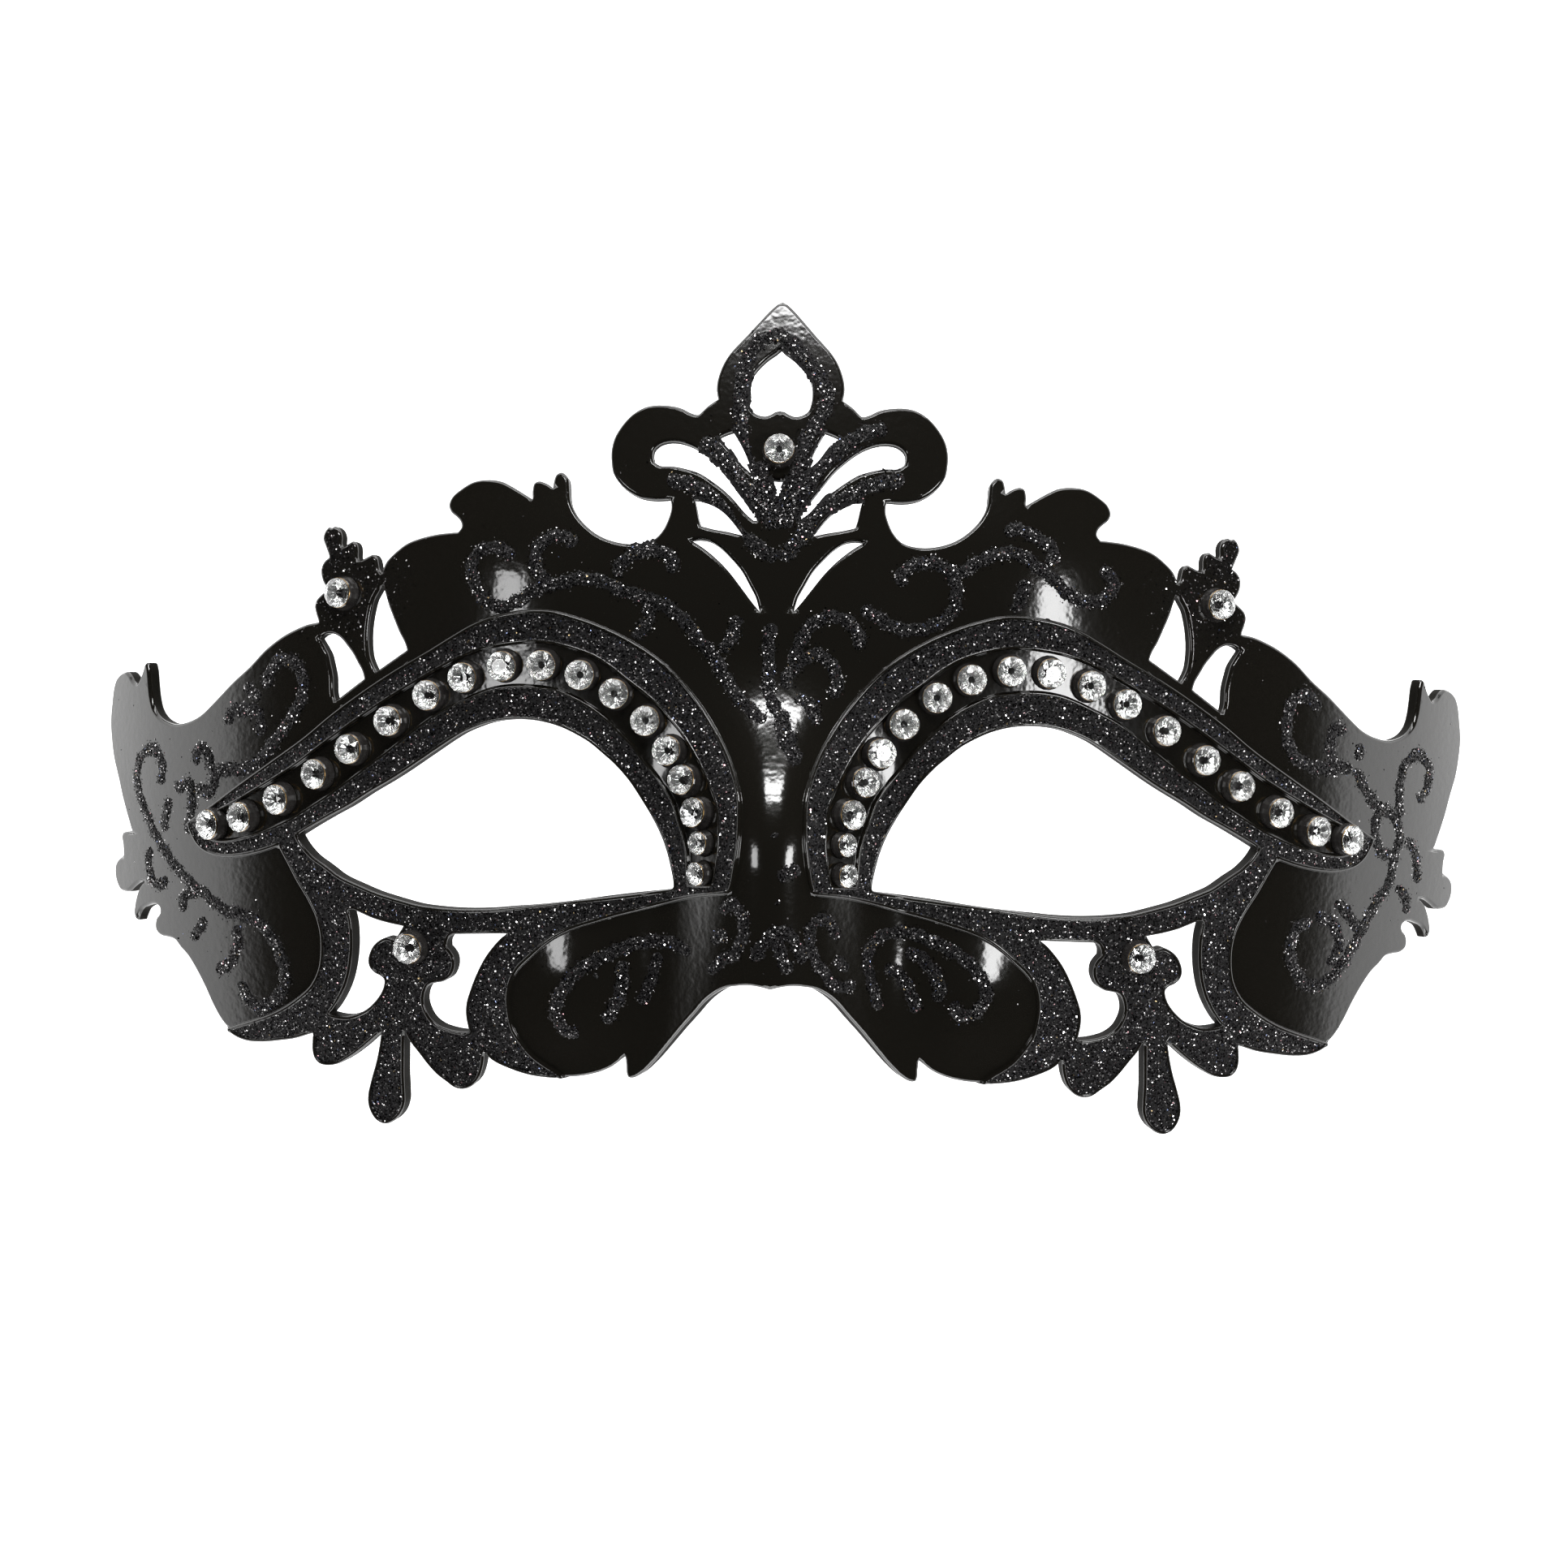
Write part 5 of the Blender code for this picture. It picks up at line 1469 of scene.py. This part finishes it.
class MaskGlitterSettings(bpy.types.PropertyGroup):
    flake_width: FloatProperty(
        name="Flake width", description="Width of the largest flakes across corners", unit="LENGTH",
        default=0.00024, min=0.0001, max=0.001,
    )
    bed_density: FloatProperty(
        name="Flakes on beds", description="Flakes on a square metre of the ring and petal beds",
        default=2.0e7, min=1e5, max=5e7,
    )
    stroke_density: FloatProperty(
        name="Flakes on strokes", description="Flakes on a square metre of the strokes",
        default=2.5e7, min=1e5, max=5e7,
    )
    tilt: FloatProperty(
        name="Flake tilt", description="Largest lean of a flake from its bed", subtype="ANGLE", unit="ROTATION",
        default=0.75, min=0.0, max=1.5,
    )
    stroke_width: FloatProperty(
        name="Stroke width", description="Mean width of a glitter stroke", unit="LENGTH",
        default=0.00172, min=0.0005, max=0.004,
    )
    stroke_height: FloatProperty(
        name="Stroke height", description="Height of a stroke's crown above the plastic", unit="LENGTH",
        default=0.00013, min=0.00005, max=0.001,
    )
    seed: IntProperty(name="Seed", description="Seed of the strewn flakes", default=7, min=0)


class MaskStoneSettings(bpy.types.PropertyGroup):
    glass: FloatVectorProperty(
        name="Glass", description="Colour of the cut glass", subtype="COLOR", default=(0.97, 0.98, 0.985)
    )
    foil: FloatVectorProperty(
        name="Foil", description="Colour of the mirror foil inside the stones", subtype="COLOR",
        default=(0.96, 0.96, 0.95),
    )
    cup: FloatVectorProperty(
        name="Foil back", description="Colour of the foil's lacquered back", subtype="COLOR",
        default=(0.50, 0.33, 0.13),
    )
    seed: IntProperty(name="Seed", description="Seed of each stone's spin and lean", default=3, min=0)


class MaskStageSettings(bpy.types.PropertyGroup):
    floor: FloatVectorProperty(
        name="Floor", description="Colour of the floor", subtype="COLOR", default=(0.92, 0.92, 0.92)
    )
    glow: FloatProperty(name="Floor glow", description="Strength of the lit floor", default=1.6, min=0.0, max=5.0)
    distance: FloatProperty(
        name="Camera distance", description="From the nose ridge to the camera", unit="LENGTH", default=8.0, min=0.5
    )


class MASK_OT_shell(bpy.types.Operator):
    """Builds the moulded shell with its beds, beads and lips"""

    bl_idname = "mask.shell"
    bl_label = "Moulded shell"

    def execute(self, context):
        face = WORK["face"]
        look = context.scene.mask_shell
        plastic = tuple(look.plastic)
        edge = plain_finish("dull_cut_edge", tuple(0.7 * part for part in plastic), plastic, 700.0, (0.5, 0.7), IOR=1.12)
        data = shell_mesh(face, WORK["lift"], (moulded_plastic(look), edge, glitter_glue(look)))
        dressed(added("moulded_shell", data), "black_gloss_plastic", "mask_shell")
        return {"FINISHED"}


class MASK_OT_strokes(bpy.types.Operator):
    """Lays the hand-drawn glitter strokes on the shell"""

    bl_idname = "mask.strokes"
    bl_label = "Glitter strokes"

    def execute(self, context):
        sizes = context.scene.mask_glitter
        data = stroke_mesh(WORK["face"], WORK["lift"], sizes.stroke_width, sizes.stroke_height)
        data.materials.append(bpy.data.materials.get("glitter_glue") or glitter_glue(context.scene.mask_shell))
        dressed(added("glitter_strokes", data), "black_gloss_plastic")
        return {"FINISHED"}


class MASK_OT_flakes(bpy.types.Operator):
    """Strews glitter flakes over the beds and the strokes"""

    bl_idname = "mask.flakes"
    bl_label = "Glitter flakes"

    def execute(self, context):
        sizes = context.scene.mask_glitter
        foil = flake_foil()
        tree = flake_tree(foil)
        for number, (carrier, density) in enumerate(
            (("moulded_shell", sizes.bed_density), ("glitter_strokes", sizes.stroke_density))
        ):
            source = bpy.data.objects[carrier].data.copy()
            piece = grown_piece(
                f"{carrier}_flakes",
                source,
                tree,
                {
                    "Flakes per square metre": density,
                    "Flake width": sizes.flake_width,
                    "Tilt": sizes.tilt,
                    "Depth": 0.00006,
                    "Seed": sizes.seed + number,
                },
            )
            dressed(piece, "black_gloss_plastic")
        return {"FINISHED"}


class MASK_OT_stones(bpy.types.Operator):
    """Sets the cut stones, their foil cups and their glue"""

    bl_idname = "mask.stones"
    bl_label = "Cut stones"

    def execute(self, context):
        look = context.scene.mask_stones
        glass, *_rest = surface(
            "cut_glass", Base_Color=(*look.glass, 1.0), Roughness=0.0, IOR=1.54, Transmission_Weight=1.0
        )
        foil = plain_finish("mirror_foil", (0.86, 0.86, 0.85), tuple(look.foil), 900.0, (0.12, 0.30), 1.0)
        cup = plain_finish("gold_foil_back", (0.26, 0.15, 0.06), tuple(look.cup), 1600.0, (0.22, 0.45), 1.0)
        glue = plain_finish("stone_glue", (0.010, 0.009, 0.009), (0.03, 0.028, 0.026), 900.0, (0.12, 0.3))
        cut = cut_stone_mesh(glass, foil)
        masters = (
            ("cut_stones", cut, None),
            ("foil_cups", turned_mesh("foil_cup", CUP_PROFILE, 24), cup),
            ("stone_glue", turned_mesh("glue_ring", GLUE_PROFILE, 20), glue),
        )
        rows = {
            "eye_left": ([(*row, -1) for row in EYE_STONES], [f"stone_eye_left_{i:02d}" for i in range(1, 19)]),
            "eye_right": ([(*row, 1) for row in EYE_STONES], [f"stone_eye_right_{i:02d}" for i in range(1, 19)]),
            "single": (
                [(*CREST_STONE, 1)] + [(*row, side) for row in (LEAF_STONE, FLORET_STONE) for side in (-1, 1)],
                ["stone_crest"] + [f"stone_{kind}_{side}" for kind in ("leaf", "floret") for side in ("left", "right")],
            ),
        }
        for number, (group, (places, nodes)) in enumerate(rows.items()):
            for word, master_mesh, coat in masters:
                master = added(word + "_master", master_mesh)
                tree = setting_tree(coat or glass, master)
                if coat is None:
                    for node in [item for item in tree.nodes if item.type == "SET_MATERIAL"]:
                        source = node.inputs["Geometry"].links[0].from_socket
                        target = node.outputs[0].links[0].to_socket
                        tree.links.new(source, target)
                        tree.nodes.remove(node)
                seats = seats_mesh(places, WORK["lift"], look.seed + number)
                piece = grown_piece(f"{word}_{group}", seats, tree, {"Width share": 1.0})
                bpy.data.objects.remove(master, do_unlink=True)
                if coat is None:
                    dressed(piece, "clear_crystal", *nodes)
                else:
                    dressed(piece, "clear_crystal")
        return {"FINISHED"}


class MASK_OT_stage(bpy.types.Operator):
    """Adds the floor, the lights and the camera"""

    bl_idname = "mask.stage"
    bl_label = "Stage"

    def execute(self, context):
        look = context.scene.mask_stage
        made, shader, wire = surface(
            "pale_floor", Base_Color=(*look.floor, 1.0), Emission_Color=(1.0, 1.0, 1.0, 1.0),
            Emission_Strength=look.glow,
        )
        plug(shader, "Roughness", 0.55 + 0.2 * noise(wire, 8.0))
        data = bpy.data.meshes.new("floor")
        reach = 3.0
        data.from_pydata(
            [(-reach, -reach, 0), (reach, -reach, 0), (reach, reach, 0), (-reach, reach, 0)], [], [(0, 1, 2, 3)]
        )
        data.materials.append(made)
        added("floor", data)
        world = bpy.data.worlds.new("studio")
        world.use_nodes = True
        sky = Wire(world.node_tree)
        way = sky.node("ShaderNodeTexCoord", output=0)
        height = sky.node("ShaderNodeSeparateXYZ", None, {0: way}, output=2)
        walls = [(place, (glow / WALL_GLOW[0][1],) * 3) for place, glow in WALL_GLOW]
        glow = sky.node("ShaderNodeValToRGB", {"stops": walls}, {"Fac": height})
        backdrop = world.node_tree.nodes["Background"]
        backdrop.inputs["Strength"].default_value = WALL_GLOW[0][1]
        plug(backdrop, "Color", glow)
        context.scene.world = world
        for name, distance, bearing, lean, size, radiance in SOFTBOXES:
            turn, tip = math.radians(bearing), math.radians(lean)
            ways = (math.sin(turn) * math.sin(tip), math.cos(turn) * math.sin(tip), math.cos(tip))
            place = [distance * part for part in ways]
            softbox(name, place, NOSE_MIDDLE, size, radiance)
        camera = bpy.data.cameras.new("camera")
        camera.sensor_width = 0.036 * 1000
        camera.lens = camera.sensor_width * look.distance / PICTURE_WIDTH
        camera.clip_end = 50.0
        made = added("camera", camera)
        back = Vector((math.sin(CAMERA_YAW), 0.0, math.cos(CAMERA_YAW)))
        made.location = Vector(PICTURE_MIDDLE) + back * look.distance
        right = Matrix.Rotation(CAMERA_ROLL, 3, back) @ Vector((math.cos(CAMERA_YAW), 0, -math.sin(CAMERA_YAW)))
        up = back.cross(right)
        made.rotation_euler = Matrix((right, up, back)).transposed().to_euler()
        context.scene.camera = made
        context.scene.view_settings.view_transform = "Standard"
        return {"FINISHED"}


class MASK_PT_panel(bpy.types.Panel):
    """Lists the sizes, the colours and the steps of the mask"""

    bl_idname = "MASK_PT_panel"
    bl_label = "Eye mask"
    bl_space_type = "VIEW_3D"
    bl_region_type = "UI"
    bl_category = "Eye mask"

    def draw(self, context):
        for group in SETTINGS:
            box = self.layout.box()
            settings = getattr(context.scene, group)
            for name in settings.__annotations__:
                box.prop(settings, name)
        for operator in STEPS:
            self.layout.operator(operator.bl_idname)


SETTINGS = {
    "mask_shell": MaskShellSettings,
    "mask_glitter": MaskGlitterSettings,
    "mask_stones": MaskStoneSettings,
    "mask_stage": MaskStageSettings,
}
STEPS = (MASK_OT_shell, MASK_OT_strokes, MASK_OT_flakes, MASK_OT_stones, MASK_OT_stage)
WORK = {}


def register():
    for group, kind in SETTINGS.items():
        bpy.utils.register_class(kind)
        setattr(bpy.types.Scene, group, PointerProperty(type=kind))
    for kind in (*STEPS, MASK_PT_panel):
        bpy.utils.register_class(kind)


def unregister():
    for kind in (MASK_PT_panel, *reversed(STEPS)):
        bpy.utils.unregister_class(kind)
    for group, kind in SETTINGS.items():
        delattr(bpy.types.Scene, group)
        bpy.utils.unregister_class(kind)


def main():
    register()
    WORK["face"] = Face()
    WORK["lift"] = face_lift()
    bpy.ops.mask.shell()
    bpy.ops.mask.strokes()
    bpy.ops.mask.flakes()
    bpy.ops.mask.stones()
    bpy.ops.mask.stage()


if __name__ == "__main__":
    main()
